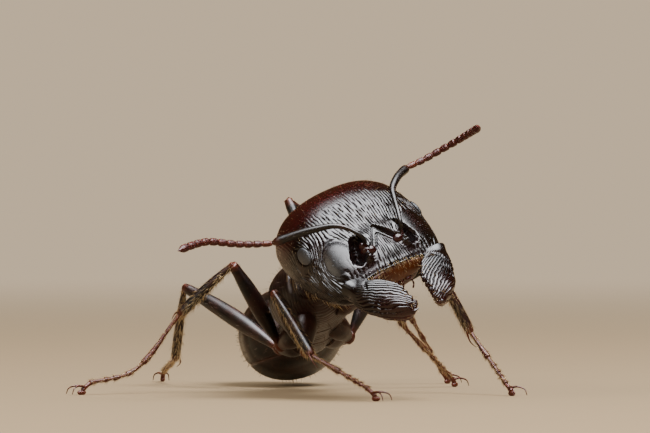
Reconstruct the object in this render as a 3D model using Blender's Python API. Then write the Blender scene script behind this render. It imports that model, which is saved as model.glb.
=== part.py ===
"""Harvester ant, a big-headed major worker, standing with raised head and open jaws.

Sizes are in millimetres until a mesh or a curve is made. The ant faces -Y, its left is +X,
up is +Z and the floor is z = 0. Local shapes use the same axes: x left, y back, z up.
"""
import bpy
import bmesh
import numpy as np
from math import atan2, pi, radians
from mathutils import Matrix, Vector

MM = 0.001
GAP = 0.05                      # clearance between neighbouring plates
STANCE_CENTRE = (-0.614, 4.847)  # middle of the stance, moved to the origin

# Posture: centre, then yaw, pitch (nose up) and roll (left side up) in degrees.
HEAD_POSE = ((0.86, -0.06, 3.79), 35.1, -26.3, 23.3)
TRUNK_POSE = ((-0.14, 2.86, 2.54), 0.0, 22.0, 17.0)
PETIOLE_POSE = ((-0.06, 6.05, 1.30), -5.0, -6.0, 14.0)
POSTPETIOLE_POSE = ((-0.15, 6.83, 1.41), -6.0, 4.0, 14.0)
GASTER_POSE = ((-0.35, 9.28, 1.40), -4.0, 1.0, 16.0)

# Profiles: place along the body, half width, height of the back, depth of the underside.
HEAD = (
    (-1.70, 1.38, 0.50, 0.49), (-1.36, 1.58, 0.77, 0.67), (-0.97, 1.72, 0.97, 0.84),
    (-0.48, 1.81, 1.18, 0.99), (0.00, 1.85, 1.33, 1.07), (0.48, 1.85, 1.39, 1.07),
    (0.97, 1.79, 1.31, 0.99), (1.41, 1.58, 1.04, 0.81), (1.65, 1.25, 0.71, 0.59),
    (1.77, 0.80, 0.34, 0.30))
TRUNK = (
    (-1.40, 0.34, 0.36, 0.30), (-1.10, 0.64, 0.62, 0.48), (-0.70, 0.93, 0.84, 0.66),
    (-0.20, 1.12, 0.98, 0.78), (0.25, 1.13, 1.02, 0.80), (0.70, 1.00, 1.00, 0.78),
    (1.15, 0.86, 0.90, 0.76), (1.55, 0.76, 0.72, 0.74), (1.85, 0.74, 0.68, 0.72),
    (2.30, 0.72, 0.67, 0.68), (2.65, 0.64, 0.54, 0.62), (2.95, 0.46, 0.25, 0.55),
    (3.05, 0.30, 0.05, 0.50))
PETIOLE = (
    (-0.44, 0.15, 0.15, 0.15), (-0.25, 0.19, 0.20, 0.19), (-0.10, 0.26, 0.40, 0.24),
    (0.08, 0.33, 0.62, 0.25), (0.24, 0.30, 0.52, 0.25), (0.38, 0.21, 0.24, 0.20))
POSTPETIOLE = (
    (-0.34, 0.20, 0.18, 0.17), (-0.20, 0.38, 0.36, 0.28), (0.00, 0.53, 0.52, 0.34),
    (0.18, 0.52, 0.46, 0.34), (0.34, 0.38, 0.30, 0.28))
GASTER = (
    (-2.06, 0.42, 0.36, 0.34), (-1.88, 0.82, 0.74, 0.66), (-1.50, 1.16, 1.04, 0.94),
    (-0.90, 1.35, 1.22, 1.16), (-0.10, 1.39, 1.27, 1.24), (0.60, 1.28, 1.17, 1.16),
    (1.20, 1.05, 0.94, 0.98), (1.70, 0.70, 0.58, 0.72), (2.05, 0.30, 0.20, 0.42),
    (2.14, 0.12, 0.08, 0.25))
TRUNK_CUTS = (0.62, 1.62)          # pronotum | mesothorax | propodeum
GASTER_CUTS = (0.55, 1.15, 1.65)   # four visible tergites

NECK_RADII = ((0.0, 0.42), (0.35, 0.36), (0.65, 0.34), (1.0, 0.37))

EYE_CENTRE = (1.65, -0.08, 0.56)
EYE_SIZE = (0.17, 0.24, 0.18)      # half depth, half length, half height
EYE_TILT = 16

# Jaw: place ahead of the head, inner and outer edge, half thickness.
JAW = (
    (-1.55, 0.84, 1.55, 0.40), (-1.75, 0.77, 1.47, 0.39), (-2.00, 0.54, 1.42, 0.40),
    (-2.25, 0.37, 1.32, 0.34), (-2.50, 0.29, 1.18, 0.29), (-2.75, 0.29, 1.03, 0.32),
    (-3.00, 0.28, 0.78, 0.33), (-3.20, 0.29, 0.56, 0.18), (-3.30, 0.33, 0.44, 0.06))
JAW_TILT = 26                      # the outer edge lies lower than the biting edge
JAW_HEIGHT = (0.23, 0.20)          # height at the joint, and rise per millimetre backwards
JAW_FRONT = -1.84                  # where the solid jaw begins, clear of the head
JAW_JOINT = (1.10, -1.60, 0.14)
JAW_TURNS = {"right": (-5.3, -0.5, 2.5), "left": (-3.2, -5.7, -3.0)}   # yaw, pitch, roll
MOUTH = (
    (-2.26, 0.18, -0.10, 0.36), (-2.18, 0.28, -0.04, 0.42), (-2.00, 0.38, 0.00, 0.46),
    (-1.75, 0.42, 0.02, 0.48))

# Antennae, as places seen from the head's centre.
SCAPES = {
    "right": ((-0.46, -1.10, 0.92), (-0.59, -1.10, 1.26), (-0.78, -0.87, 1.44),
              (-0.99, -0.61, 1.49), (-1.41, -0.28, 1.40), (-1.85, 0.03, 1.24),
              (-2.34, 0.35, 1.02)),
    "left": ((0.50, -1.14, 0.90), (0.53, -1.18, 1.20), (0.65, -0.91, 1.38),
             (0.82, -0.52, 1.47), (0.98, -0.20, 1.52), (1.34, 0.13, 1.54),
             (1.92, 0.50, 1.43))}
FLAGELLA = {
    "right": ((-2.34, 0.35, 1.02), (-2.72, 0.50, 1.08), (-3.12, 0.62, 1.19),
              (-4.03, 0.78, 1.57), (-4.54, 0.66, 1.74), (-5.00, 0.49, 1.89)),
    "left": ((1.92, 0.50, 1.43), (2.31, 0.48, 1.45), (2.85, 0.36, 1.62),
             (3.21, 0.05, 1.95), (3.28, -0.42, 2.40), (3.20, -0.97, 2.89))}
SCAPE_RADII = ((0.0, 0.12), (0.10, 0.15), (0.22, 0.21), (0.6, 0.22), (0.90, 0.22), (1.0, 0.08))
BEADS = 11
BEAD_RADIUS = 0.22

# Legs: hip on the trunk, then trochanter, knee, ankle, heel (if bent there) and toe.
LEGS = {
    "front_right": ((-0.42, -0.35, -0.50), (-0.38, 1.88, 1.12), (-1.28, 0.50, 2.68),
                    (-0.37, -0.50, 1.12), (1.18, -1.60, 0.00)),
    "front_left": ((0.42, -0.35, -0.50), (1.05, 2.60, 2.40), (2.75, 2.50, 3.75),
                   (3.95, 2.93, 1.60), (4.90, 1.64, 0.00)),
    "middle_right": ((-0.42, 1.05, -0.45), (-0.90, 4.42, 1.20), (-2.20, 3.11, 3.35),
                     (-3.55, 3.62, 2.05), (-4.85, 3.39, 0.55), (-6.10, 2.94, 0.00)),
    "middle_left": ((0.42, 1.05, -0.45), (0.90, 4.45, 1.40), (2.08, 5.16, 3.80),
                    (2.42, 6.13, 1.70), (3.95, 7.89, 0.00)),
    "hind_right": ((-0.36, 2.15, -0.40), (-0.85, 5.60, 1.08), (-3.25, 8.22, 2.66),
                   (-3.45, 9.63, 0.70), (-3.70, 12.24, 0.00)),
    "hind_left": ((0.36, 2.15, -0.40), (0.85, 5.75, 1.35), (-0.55, 7.05, 5.00),
                  (2.15, 8.30, 3.00), (3.95, 10.24, 0.00))}
COXA_RADII = ((0.0, 0.27), (0.20, 0.29), (0.50, 0.28), (0.78, 0.20), (0.92, 0.13), (1.0, 0.06))
FEMUR_RADII = ((0.0, 0.06), (0.04, 0.12), (0.12, 0.18), (0.28, 0.25), (0.48, 0.28),
               (0.74, 0.26), (0.88, 0.22), (0.95, 0.16), (1.0, 0.07))
TIBIA_RADII = ((0.0, 0.06), (0.06, 0.10), (0.14, 0.14), (0.30, 0.22), (0.62, 0.25),
               (0.88, 0.24), (0.96, 0.17), (1.0, 0.07))
TARSUS_RADIUS = 0.20
TARSOMERE_ENDS = (0.0, 0.50, 0.67, 0.79, 0.87, 1.0)
JOINT_GAP = 0.10                # from each joint's centre to the ends of its limbs
KNEE_GAP = 0.15                 # from the knee to the tibia, which folds back beside the femur
FOOT_HEIGHT = 0.31              # where the last tarsomere ends above the floor

SHELL = ((0.030, 0.012, 0.010, 1.0), 0.22)
HEAD_SHELL = ((0.042, 0.013, 0.011, 1.0), 0.20)
EYE_SHELL = ((0.045, 0.046, 0.050, 1.0), 0.25)
JAW_SHELL = ((0.040, 0.015, 0.012, 1.0), 0.25)
AMBER = ((0.42, 0.13, 0.03, 1.0), 0.35)
FLAGELLUM_SHELL = ((0.10, 0.025, 0.014, 1.0), 0.40)
LEG_SHELL = ((0.045, 0.025, 0.018, 1.0), 0.28)
TARSUS_SHELL = ((0.16, 0.070, 0.030, 1.0), 0.40)


def pose(centre, yaw, pitch, roll):
    """Placement of a body part, from its centre and its three turns."""
    turn = (Matrix.Rotation(radians(yaw), 4, "Z")
            @ Matrix.Rotation(radians(-pitch), 4, "X")
            @ Matrix.Rotation(radians(-roll), 4, "Y"))
    return Matrix.Translation(Vector(centre) * MM) @ turn


def place(frame, point):
    """A local point, in millimetres, carried to the ant's own axes."""
    return np.array(frame @ (Vector(point) * MM)) / MM


def blend(stations, where):
    """Smooth values between stations, whose first column is the place along the body."""
    table = np.array(stations, float)
    at, values = table[:, 0], table[:, 1:]
    slope = np.gradient(values, at, axis=0)
    k = np.clip(np.searchsorted(at, where) - 1, 0, len(at) - 2)
    step = (at[k + 1] - at[k])[:, None]
    t = ((where - at[k]) / (at[k + 1] - at[k]))[:, None]
    return ((1 + 2 * t) * (1 - t) ** 2 * values[k] + t * (1 - t) ** 2 * step * slope[k]
            + t * t * (3 - 2 * t) * values[k + 1] + t * t * (t - 1) * step * slope[k + 1])


def smooth_path(points, count, before=0.0, after=0.0):
    """Evenly spaced places on the smooth curve through points, short of its ends if asked."""
    points = np.array(points, float)
    run = np.r_[0, np.cumsum(np.linalg.norm(np.diff(points, axis=0), axis=1))]
    return blend(np.c_[run, points], np.linspace(before, run[-1] - after, count))


class Workshop:
    """Makes the ant's objects in one collection and their cutters in another."""

    def __init__(self):
        for old in list(bpy.data.objects):
            bpy.data.objects.remove(old, do_unlink=True)
        self.parts = bpy.data.collections.new("harvester_ant")
        self.cutters = bpy.data.collections.new("cutters")
        for collection in (self.parts, self.cutters):
            bpy.context.scene.collection.children.link(collection)
        self.root = bpy.data.objects.new("stance", None)
        self.root.location = (-STANCE_CENTRE[0] * MM, -STANCE_CENTRE[1] * MM, 0)
        self.parts.objects.link(self.root)

    def material(self, name, look):
        """Principled material with the part's own colour and roughness."""
        shell = bpy.data.materials.get(name) or bpy.data.materials.new(name)
        shell.use_nodes = True
        shader = shell.node_tree.nodes["Principled BSDF"]
        shader.inputs["Base Color"].default_value = look[0]
        shader.inputs["Roughness"].default_value = look[1]
        shader.inputs["Metallic"].default_value = 0.0
        return shell

    def add(self, name, data, frame, look, cutter=False):
        """Link an object under the stance empty, as a part or as a cutter."""
        thing = bpy.data.objects.new(name, data)
        (self.cutters if cutter else self.parts).objects.link(thing)
        thing.parent = self.root
        thing.matrix_local = frame
        if cutter:
            thing.hide_render = True
            thing.display_type = "WIRE"
        else:
            data.materials.append(self.material(name + "_shell", look))
        return thing

    def trim(self, thing, cutter):
        """Cut a part by its neighbour's clearance."""
        cut = thing.modifiers.new("fit_to_" + cutter.name, "BOOLEAN")
        cut.operation = "DIFFERENCE"
        cut.object = cutter


def rings(stations, count, sides, power, grow=0.0, start=None, end=None):
    """Cross sections of a plate: superellipses with unlike back and underside."""
    first = stations[0][0] if start is None else start
    last = stations[-1][0] if end is None else end
    even = np.linspace(0, 1, count)
    along = first + (last - first) * (0.5 * even + 0.25 - 0.25 * np.cos(pi * even))
    shape = blend(stations, along) + grow
    angle = 2 * pi * np.arange(sides) / sides
    across = np.sign(np.cos(angle)) * np.abs(np.cos(angle)) ** (2 / power)
    upward = np.sign(np.sin(angle)) * np.abs(np.sin(angle)) ** (2 / power)
    height = np.where(upward >= 0, shape[:, 1:2], shape[:, 2:3]) * upward
    if grow:
        along[0] -= grow * (start is None)
        along[-1] += grow * (end is None)
    return np.stack([shape[:, :1] * across, along[:, None] + 0 * height, height], axis=2)


def closed_mesh(name, sections):
    """Mesh through cross sections, closed by a flat face at each end."""
    shape = bmesh.new()
    rows = [[shape.verts.new(point * MM) for point in ring] for ring in sections]
    for near, far in zip(rows, rows[1:]):
        for k in range(len(near)):
            m = (k + 1) % len(near)
            shape.faces.new((near[k], near[m], far[m], far[k]))
    shape.faces.new(rows[0])
    shape.faces.new(rows[-1])
    bmesh.ops.recalc_face_normals(shape, faces=shape.faces)
    mesh = bpy.data.meshes.new(name)
    shape.to_mesh(mesh)
    shape.free()
    mesh.shade_smooth()
    mesh.set_sharp_from_angle(angle=radians(50))
    return mesh


def ball_mesh(name, size, grow=0.0, tilt=0.0):
    """Ellipsoid from a sphere primitive."""
    shape = bmesh.new()
    bmesh.ops.create_uvsphere(shape, u_segments=12, v_segments=8, radius=MM)
    bmesh.ops.scale(shape, vec=[half + grow for half in size], verts=shape.verts)
    bmesh.ops.rotate(shape, matrix=Matrix.Rotation(tilt, 3, "Y"), verts=shape.verts)
    mesh = bpy.data.meshes.new(name)
    shape.to_mesh(mesh)
    shape.free()
    mesh.shade_smooth()
    return mesh


def tube(name, path, radii, resolution=2):
    """Round limb of changing thickness: a bevelled curve with filled caps."""
    curve = bpy.data.curves.new(name, "CURVE")
    curve.dimensions = "3D"
    curve.bevel_depth = MM
    curve.bevel_resolution = resolution
    curve.use_fill_caps = True
    spline = curve.splines.new("POLY")
    spline.points.add(len(path) - 1)
    for point, spot, radius in zip(spline.points, path, radii):
        point.co = (*((spot - path[0]) * MM), 1)
        point.radius = radius
    return curve


def solid_tube(name, path, radii, resolution=2):
    """The same limb as a welded mesh, which can be cut."""
    bevelled = bpy.data.objects.new(name, tube(name, path, radii, resolution))
    bpy.context.scene.collection.objects.link(bevelled)
    graph = bpy.context.evaluated_depsgraph_get()
    mesh = bpy.data.meshes.new_from_object(bevelled.evaluated_get(graph))
    curve = bevelled.data
    bpy.data.objects.remove(bevelled)
    bpy.data.curves.remove(curve)
    shape = bmesh.new()
    shape.from_mesh(mesh)
    bmesh.ops.remove_doubles(shape, verts=shape.verts, dist=1e-7)
    bmesh.ops.recalc_face_normals(shape, faces=shape.faces)
    shape.to_mesh(mesh)
    shape.free()
    mesh.name = name
    mesh.shade_smooth()
    return mesh


def straight(start, end, before, after, profile, bow=0.0):
    """Segment between two joints, short of them by the given lengths, bowed upwards.

    Its points lie where the profile gives a radius, and those radii come back with them.
    """
    start, end = np.array(start, float), np.array(end, float)
    along = (end - start) / np.linalg.norm(end - start)
    first, last = start + before * along, end - after * along
    t, radii = np.array(profile).T
    t = t[:, None]
    return first + t * (last - first) + bow * 4 * t * (1 - t) * np.array([0, 0, 1.0]), radii


def notched_radii(ends, count, radius, waist):
    """Radii that narrow at each joint of a many-jointed limb."""
    t = np.linspace(0, 1, count)
    nearest = np.min(np.abs(t[:, None] - np.array(ends)[None, :]), axis=1)
    return radius - waist * np.exp(-(nearest * count / 1.2) ** 2)


def make_head(shop):
    """Head capsule with eye sockets, eyes, jaws, mouthparts and antennae."""
    frame = pose(*HEAD_POSE)
    head = shop.add("head", closed_mesh("head", rings(HEAD, 16, 24, 2.3)), frame, HEAD_SHELL)
    near = closed_mesh("head_clearance", rings(HEAD, 16, 24, 2.3, GAP))
    clearance = shop.add("head_clearance", near, frame, None, cutter=True)
    for side, sign in (("right", -1), ("left", 1)):
        x, y, z = EYE_CENTRE
        spot = frame @ Matrix.Translation(Vector((sign * x, y, z)) * MM)
        tilt = -sign * radians(EYE_TILT)
        socket = ball_mesh("eye_socket_" + side, EYE_SIZE, GAP, tilt)
        shop.trim(head, shop.add(socket.name, socket, spot, None, cutter=True))
        shop.add("eye_" + side, ball_mesh("eye_" + side, EYE_SIZE, 0.0, tilt), spot, EYE_SHELL)
        x, y, z = JAW_JOINT
        hinge = frame @ pose((sign * x, y, z), *JAW_TURNS[side])
        shop.add("mandible_" + side, jaw_mesh("mandible_" + side, sign), hinge, JAW_SHELL)
        make_antenna(shop, frame, side, clearance)
    mouth = closed_mesh("mouthparts", rings(MOUTH, 6, 12, 2.0))
    shop.add("mouthparts", mouth, frame, AMBER)
    return clearance


def jaw_mesh(name, sign):
    """Broad triangular jaw about its joint: tilted sections, thin at the biting edge."""
    along = np.linspace(JAW_FRONT, JAW[-1][0], 11)
    shape = blend(JAW[::-1], along)
    angle = 2 * pi * np.arange(12) / 12
    middle, half = (shape[:, 0:1] + shape[:, 1:2]) / 2, (shape[:, 1:2] - shape[:, 0:1]) / 2
    across = middle + half * np.cos(angle) - 1
    thick = shape[:, 2:3] * np.sin(angle) * (0.85 + 0.35 * np.cos(angle))
    tilt, (height, slope) = radians(JAW_TILT), JAW_HEIGHT
    x = 1 + across * np.cos(tilt) + thick * np.sin(tilt)
    z = height + slope * (along[:, None] + 1.75) + thick * np.cos(tilt) - across * np.sin(tilt)
    sections = np.stack([x, along[:, None] + 0 * x, z], axis=2) - JAW_JOINT
    return closed_mesh(name, sections * (sign, 1, 1))


def make_antenna(shop, frame, side, clearance):
    """Long first joint and a beaded flagellum of eleven joints."""
    path = smooth_path([place(frame, point) for point in SCAPES[side]], 13, 0, JOINT_GAP)
    radii = blend(SCAPE_RADII, np.linspace(0, 1, 13))[:, 0]
    spot = Matrix.Translation(Vector(path[0]) * MM)
    scape = shop.add("scape_" + side, solid_tube("scape_" + side, path, radii), spot, SHELL)
    shop.trim(scape, clearance)
    count = 2 * BEADS + 1
    path = smooth_path([place(frame, point) for point in FLAGELLA[side]], count, JOINT_GAP)
    radii = notched_radii(np.linspace(0, 1, BEADS + 1), count, BEAD_RADIUS, 0.07)
    radii[0], radii[-1] = 0.08, 0.13
    spot = Matrix.Translation(Vector(path[0]) * MM)
    flagellum = tube("flagellum_" + side, path, radii)
    shop.add("flagellum_" + side, flagellum, spot, FLAGELLUM_SHELL)


def make_trunk(shop, head_clearance):
    """Neck, three plates of the trunk, two waist joints and four plates of the gaster."""
    frame = pose(*TRUNK_POSE)
    near = closed_mesh("trunk_clearance", rings(TRUNK, 16, 24, 2.2, GAP))
    clearance = shop.add("trunk_clearance", near, frame, None, cutter=True)
    bounds = (TRUNK[0][0], *TRUNK_CUTS, TRUNK[-1][0])
    for name, start, end, count in zip(("pronotum", "mesothorax", "propodeum"),
                                       bounds, bounds[1:], (9, 5, 7)):
        end = end - GAP * (end != bounds[-1])
        sections = rings(TRUNK, count, 20, 2.2, start=start, end=end)
        shop.add(name, closed_mesh(name, sections), frame, SHELL)
    path, radii = straight(place(pose(*HEAD_POSE), (0, 1.15, -0.40)),
                           place(frame, (0, -1.15, 0.05)), 0, 0, NECK_RADII)
    spot = Matrix.Translation(Vector(path[0]) * MM)
    neck = shop.add("neck", solid_tube("neck", path, radii), spot, SHELL)
    shop.trim(neck, head_clearance)
    shop.trim(neck, clearance)
    for name, stations, spot, power in (
            ("petiole", PETIOLE, PETIOLE_POSE, 2.0),
            ("postpetiole", POSTPETIOLE, POSTPETIOLE_POSE, 2.0)):
        sections = rings(stations, 8, 16, power)
        waist = shop.add(name, closed_mesh(name, sections), pose(*spot), SHELL)
        shop.trim(waist, clearance)
    bounds = (GASTER[0][0], *GASTER_CUTS, GASTER[-1][0])
    for k, (start, end) in enumerate(zip(bounds, bounds[1:]), start=1):
        end = end - GAP * (k < 4)
        sections = rings(GASTER, (9, 4, 4, 5)[k - 1], 18, 2.1, start=start, end=end)
        name = "gaster_plate_%d" % k
        shop.add(name, closed_mesh(name, sections), pose(*GASTER_POSE), SHELL)
    return clearance


def foot_mesh():
    """Foot: a pad with a flat underside between two claws, the toe pointing along +X."""
    pieces = [ball_mesh("pad", (0.24, 0.18, 0.22))]
    for sign in (-1, 1):
        path = smooth_path([(-0.02, sign * 0.06, 0.12), (0.16, sign * 0.16, 0.14),
                            (0.32, sign * 0.22, 0.06), (0.36, sign * 0.23, -0.02)], 4)
        pieces.append(solid_tube("claw", path, np.linspace(0.10, 0.05, 4), 1))
    floor = bmesh.new()
    bmesh.ops.create_cube(floor, size=2 * MM)
    bmesh.ops.translate(floor, vec=(0, 0, -MM), verts=floor.verts)
    under = bpy.data.meshes.new("under_floor")
    floor.to_mesh(under)
    floor.free()
    things = [bpy.data.objects.new("foot_form", mesh) for mesh in (*pieces, under)]
    for thing in things:
        bpy.context.scene.collection.objects.link(thing)
    for thing in things[1:]:
        join = things[0].modifiers.new("join", "BOOLEAN")
        join.operation = "DIFFERENCE" if thing is things[-1] else "UNION"
        join.object = thing
    graph = bpy.context.evaluated_depsgraph_get()
    mesh = bpy.data.meshes.new_from_object(things[0].evaluated_get(graph))
    for thing in things:
        bpy.data.objects.remove(thing)
    mesh.name = "foot"
    mesh.set_sharp_from_angle(angle=radians(50))
    return mesh


def make_leg(shop, name, joints, trunk, clearance, foot):
    """One leg: coxa, femur with its trochanter, tibia, tarsus and foot."""
    hip, joints = place(trunk, joints[0]), [np.array(joint) for joint in joints[1:]]
    trochanter, knee, ankle, toe = joints[0], joints[1], joints[2], joints[-1]
    coxa, radii = straight(hip, trochanter, 0, JOINT_GAP, COXA_RADII)
    spot = Matrix.Translation(Vector(coxa[0]) * MM)
    mesh = solid_tube("coxa_" + name, coxa, radii)
    shop.trim(shop.add("coxa_" + name, mesh, spot, SHELL), clearance)
    for part, start, end, gap, profile, bow in (
            ("femur_", trochanter, knee, JOINT_GAP, FEMUR_RADII, 0.06),
            ("tibia_", knee, ankle, KNEE_GAP, TIBIA_RADII, 0.03)):
        path, radii = straight(start, end, gap, JOINT_GAP, profile, bow)
        spot = Matrix.Translation(Vector(path[0]) * MM)
        shop.add(part + name, tube(part + name, path, radii), spot, LEG_SHELL)
    last = joints[-2] if len(joints) > 4 else ankle
    outward = (toe - last) * (1, 1, 0) / np.linalg.norm((toe - last)[:2])
    end = toe - 0.22 * outward + (0, 0, FOOT_HEIGHT)
    path = smooth_path([ankle, *joints[3:-1], end], 11, JOINT_GAP)
    radii = notched_radii(TARSOMERE_ENDS, 11, TARSUS_RADIUS, 0.05)
    radii[0] = radii[-1] = 0.07
    spot = Matrix.Translation(Vector(path[0]) * MM)
    shop.add("tarsus_" + name, tube("tarsus_" + name, path, radii), spot, TARSUS_SHELL)
    turn = Matrix.Rotation(atan2(outward[1], outward[0]), 4, "Z")
    copy = foot.copy()
    copy.name = "foot_" + name
    shop.add("foot_" + name, copy, Matrix.Translation(Vector(toe) * MM) @ turn, TARSUS_SHELL)


def main():
    """Build the whole ant."""
    shop = Workshop()
    head_clearance = make_head(shop)
    clearance = make_trunk(shop, head_clearance)
    foot = foot_mesh()
    for name, joints in LEGS.items():
        make_leg(shop, name, joints, pose(*TRUNK_POSE), clearance, foot)
    bpy.data.meshes.remove(foot)


if __name__ == "__main__":
    main()
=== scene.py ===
"""Museum model of a big-headed harvester ant worker, life size, with raised head and open jaws.

Shapes are worked out in millimetres on the ant's own axes (x left, y back, z up, floor at
z = 0, head towards -y). They go into the meshes in metres, about the middle of the stance.
"""
from math import cos, pi, radians, sin

import bpy
import numpy as np
from bpy.props import FloatProperty, FloatVectorProperty, PointerProperty
from bpy.types import Operator, Panel, PropertyGroup
from mathutils import Matrix


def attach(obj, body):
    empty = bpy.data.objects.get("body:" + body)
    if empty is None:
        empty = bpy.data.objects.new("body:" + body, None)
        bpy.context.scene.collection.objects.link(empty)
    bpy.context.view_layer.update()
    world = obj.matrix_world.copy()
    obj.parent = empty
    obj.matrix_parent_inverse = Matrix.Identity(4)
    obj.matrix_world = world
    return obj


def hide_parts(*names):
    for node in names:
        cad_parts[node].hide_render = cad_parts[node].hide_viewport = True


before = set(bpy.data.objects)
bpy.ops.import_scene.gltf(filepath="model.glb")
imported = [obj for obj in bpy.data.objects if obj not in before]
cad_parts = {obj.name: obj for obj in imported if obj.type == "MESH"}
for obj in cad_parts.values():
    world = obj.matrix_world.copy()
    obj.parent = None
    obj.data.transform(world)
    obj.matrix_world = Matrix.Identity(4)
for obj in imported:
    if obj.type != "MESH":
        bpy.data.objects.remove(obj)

bl_info = {
    "name": "Harvester ant",
    "version": (1, 0, 0),
    "blender": (4, 5, 0),
    "location": "3D View > Sidebar > Ant",
    "description": "Life-size museum model of a big-headed harvester ant worker",
    "category": "Mesh",
}

MM = 0.001
SIDES = {"right": -1, "left": 1}   # the way of x on each side
STANCE_CENTRE = np.array((-0.614, 4.847, 0.0))

# Posture: centre, then yaw, pitch (nose up) and roll (left side up) in degrees.
HEAD_POSE = ((0.86, -0.06, 3.79), 35.1, -26.3, 23.3)
TRUNK_POSE = ((-0.14, 2.86, 2.54), 0.0, 22.0, 17.0)
PETIOLE_POSE = ((-0.06, 6.05, 1.30), -5.0, -6.0, 14.0)
POSTPETIOLE_POSE = ((-0.15, 6.83, 1.41), -6.0, 4.0, 14.0)
GASTER_POSE = ((-0.35, 9.28, 1.40), -4.0, 1.0, 16.0)

# Profiles: place along the body, half width, height of the back, depth of the underside.
HEAD = (
    (-1.70, 1.38, 0.50, 0.49), (-1.36, 1.58, 0.77, 0.67), (-0.97, 1.72, 0.97, 0.84),
    (-0.48, 1.81, 1.18, 0.99), (0.00, 1.85, 1.33, 1.07), (0.48, 1.85, 1.39, 1.07),
    (0.97, 1.79, 1.31, 0.99), (1.41, 1.58, 1.04, 0.81), (1.65, 1.25, 0.71, 0.59),
    (1.77, 0.80, 0.34, 0.30), (1.80, 0.30, 0.12, 0.10))
TRUNK = (
    (-1.40, 0.34, 0.36, 0.30), (-1.10, 0.64, 0.62, 0.48), (-0.70, 0.93, 0.84, 0.66),
    (-0.20, 1.12, 0.98, 0.78), (0.25, 1.13, 1.02, 0.80), (0.70, 1.00, 1.00, 0.78),
    (1.15, 0.86, 0.90, 0.76), (1.55, 0.76, 0.72, 0.74), (1.85, 0.74, 0.68, 0.72),
    (2.30, 0.72, 0.67, 0.68), (2.65, 0.64, 0.54, 0.62), (2.95, 0.46, 0.25, 0.55),
    (3.05, 0.30, 0.05, 0.50))
PETIOLE = (
    (-0.50, 0.13, 0.13, 0.13), (-0.44, 0.15, 0.15, 0.15), (-0.25, 0.19, 0.20, 0.19),
    (-0.10, 0.26, 0.40, 0.24), (0.08, 0.33, 0.62, 0.25), (0.24, 0.30, 0.52, 0.25),
    (0.38, 0.21, 0.24, 0.20), (0.50, 0.17, 0.17, 0.17))
POSTPETIOLE = (
    (-0.42, 0.16, 0.15, 0.15), (-0.34, 0.20, 0.18, 0.17), (-0.20, 0.38, 0.36, 0.28),
    (0.00, 0.53, 0.52, 0.34), (0.18, 0.52, 0.46, 0.34), (0.34, 0.38, 0.30, 0.28),
    (0.48, 0.32, 0.24, 0.24))
GASTER = (
    (-2.06, 0.42, 0.36, 0.34), (-1.88, 0.82, 0.74, 0.66), (-1.50, 1.16, 1.04, 0.94),
    (-0.90, 1.35, 1.22, 1.16), (-0.10, 1.39, 1.27, 1.24), (0.60, 1.28, 1.17, 1.16),
    (1.20, 1.05, 0.94, 0.98), (1.70, 0.70, 0.58, 0.72), (2.05, 0.30, 0.20, 0.42),
    (2.14, 0.12, 0.08, 0.25))
TRUNK_CUTS = (0.62, 1.62)
GASTER_CUTS = (0.55, 1.15, 1.65)

# Power of each body's superellipse: 2 is round, more is squarer.
HEAD_POWER, TRUNK_POWER, WAIST_POWER, GASTER_POWER = 2.3, 2.2, 2.0, 2.1

# Fineness of the surfaces: vertices round a ring, and rings along each piece.
HEAD_SIDES, HEAD_RINGS = 380, 236
JAW_SIDES, JAW_RINGS = 280, 170
PLATE_SIDES, TRUNK_RINGS, GASTER_RINGS = 240, (130, 76, 96), (190, 60, 60, 70)
WAIST_SIDES, WAIST_RINGS = 120, 90

EYE_CENTRE = (1.65, -0.08, 0.56)
EYE_SIZE = (0.17, 0.24, 0.18)
EYE_TILT = 16
EYE_INSET = -0.045
SOCKET = (0.46, -1.16, 0.82)       # feeler socket, on the head's upper side
TROUGH = ((0.78, -1.22), (0.65, -0.86))   # hollow round a feeler: its two ends, x and y
MOUND = (0.58, -1.28)              # small mound at the trough's front end
CHEEK_DISC = (1.19, -0.90)         # smooth disc on each cheek

# What the ridges flow round: distance from the middle, place along the head, radius.
CALM_SPOTS = ((1.25, -0.90, 0.40), (0.70, -1.12, 0.26), (2.12, -0.10, 0.27))

# Turned-in lip at the front of the head: how far it has shrunk, how far ahead it lies.
MOUTH_RIM = ((0.55, 0.34), (0.26, 0.30), (0.20, 0.12), (0.13, 0.02), (0.095, -0.015),
             (0.060, -0.024), (0.030, -0.020), (0.010, -0.010))

# Jaw: place ahead of the head, inner and outer edge, half thickness.
JAW = (
    (-1.55, 0.84, 1.55, 0.40), (-1.75, 0.77, 1.47, 0.39), (-2.00, 0.54, 1.42, 0.40),
    (-2.25, 0.37, 1.32, 0.34), (-2.50, 0.29, 1.18, 0.29), (-2.75, 0.29, 1.03, 0.32),
    (-3.00, 0.28, 0.78, 0.33), (-3.20, 0.29, 0.56, 0.18), (-3.30, 0.33, 0.44, 0.06))
JAW_TILT = 26                      # the outer edge lies lower than the biting edge
JAW_HEIGHT = (0.23, 0.20)          # height at the joint, and rise per millimetre backwards
JAW_JOINT = (1.10, -1.60, 0.14)
JAW_TURNS = {"right": (-5.3, -0.5, 2.5), "left": (-3.2, -5.7, -3.0)}   # yaw, pitch, roll

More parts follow.
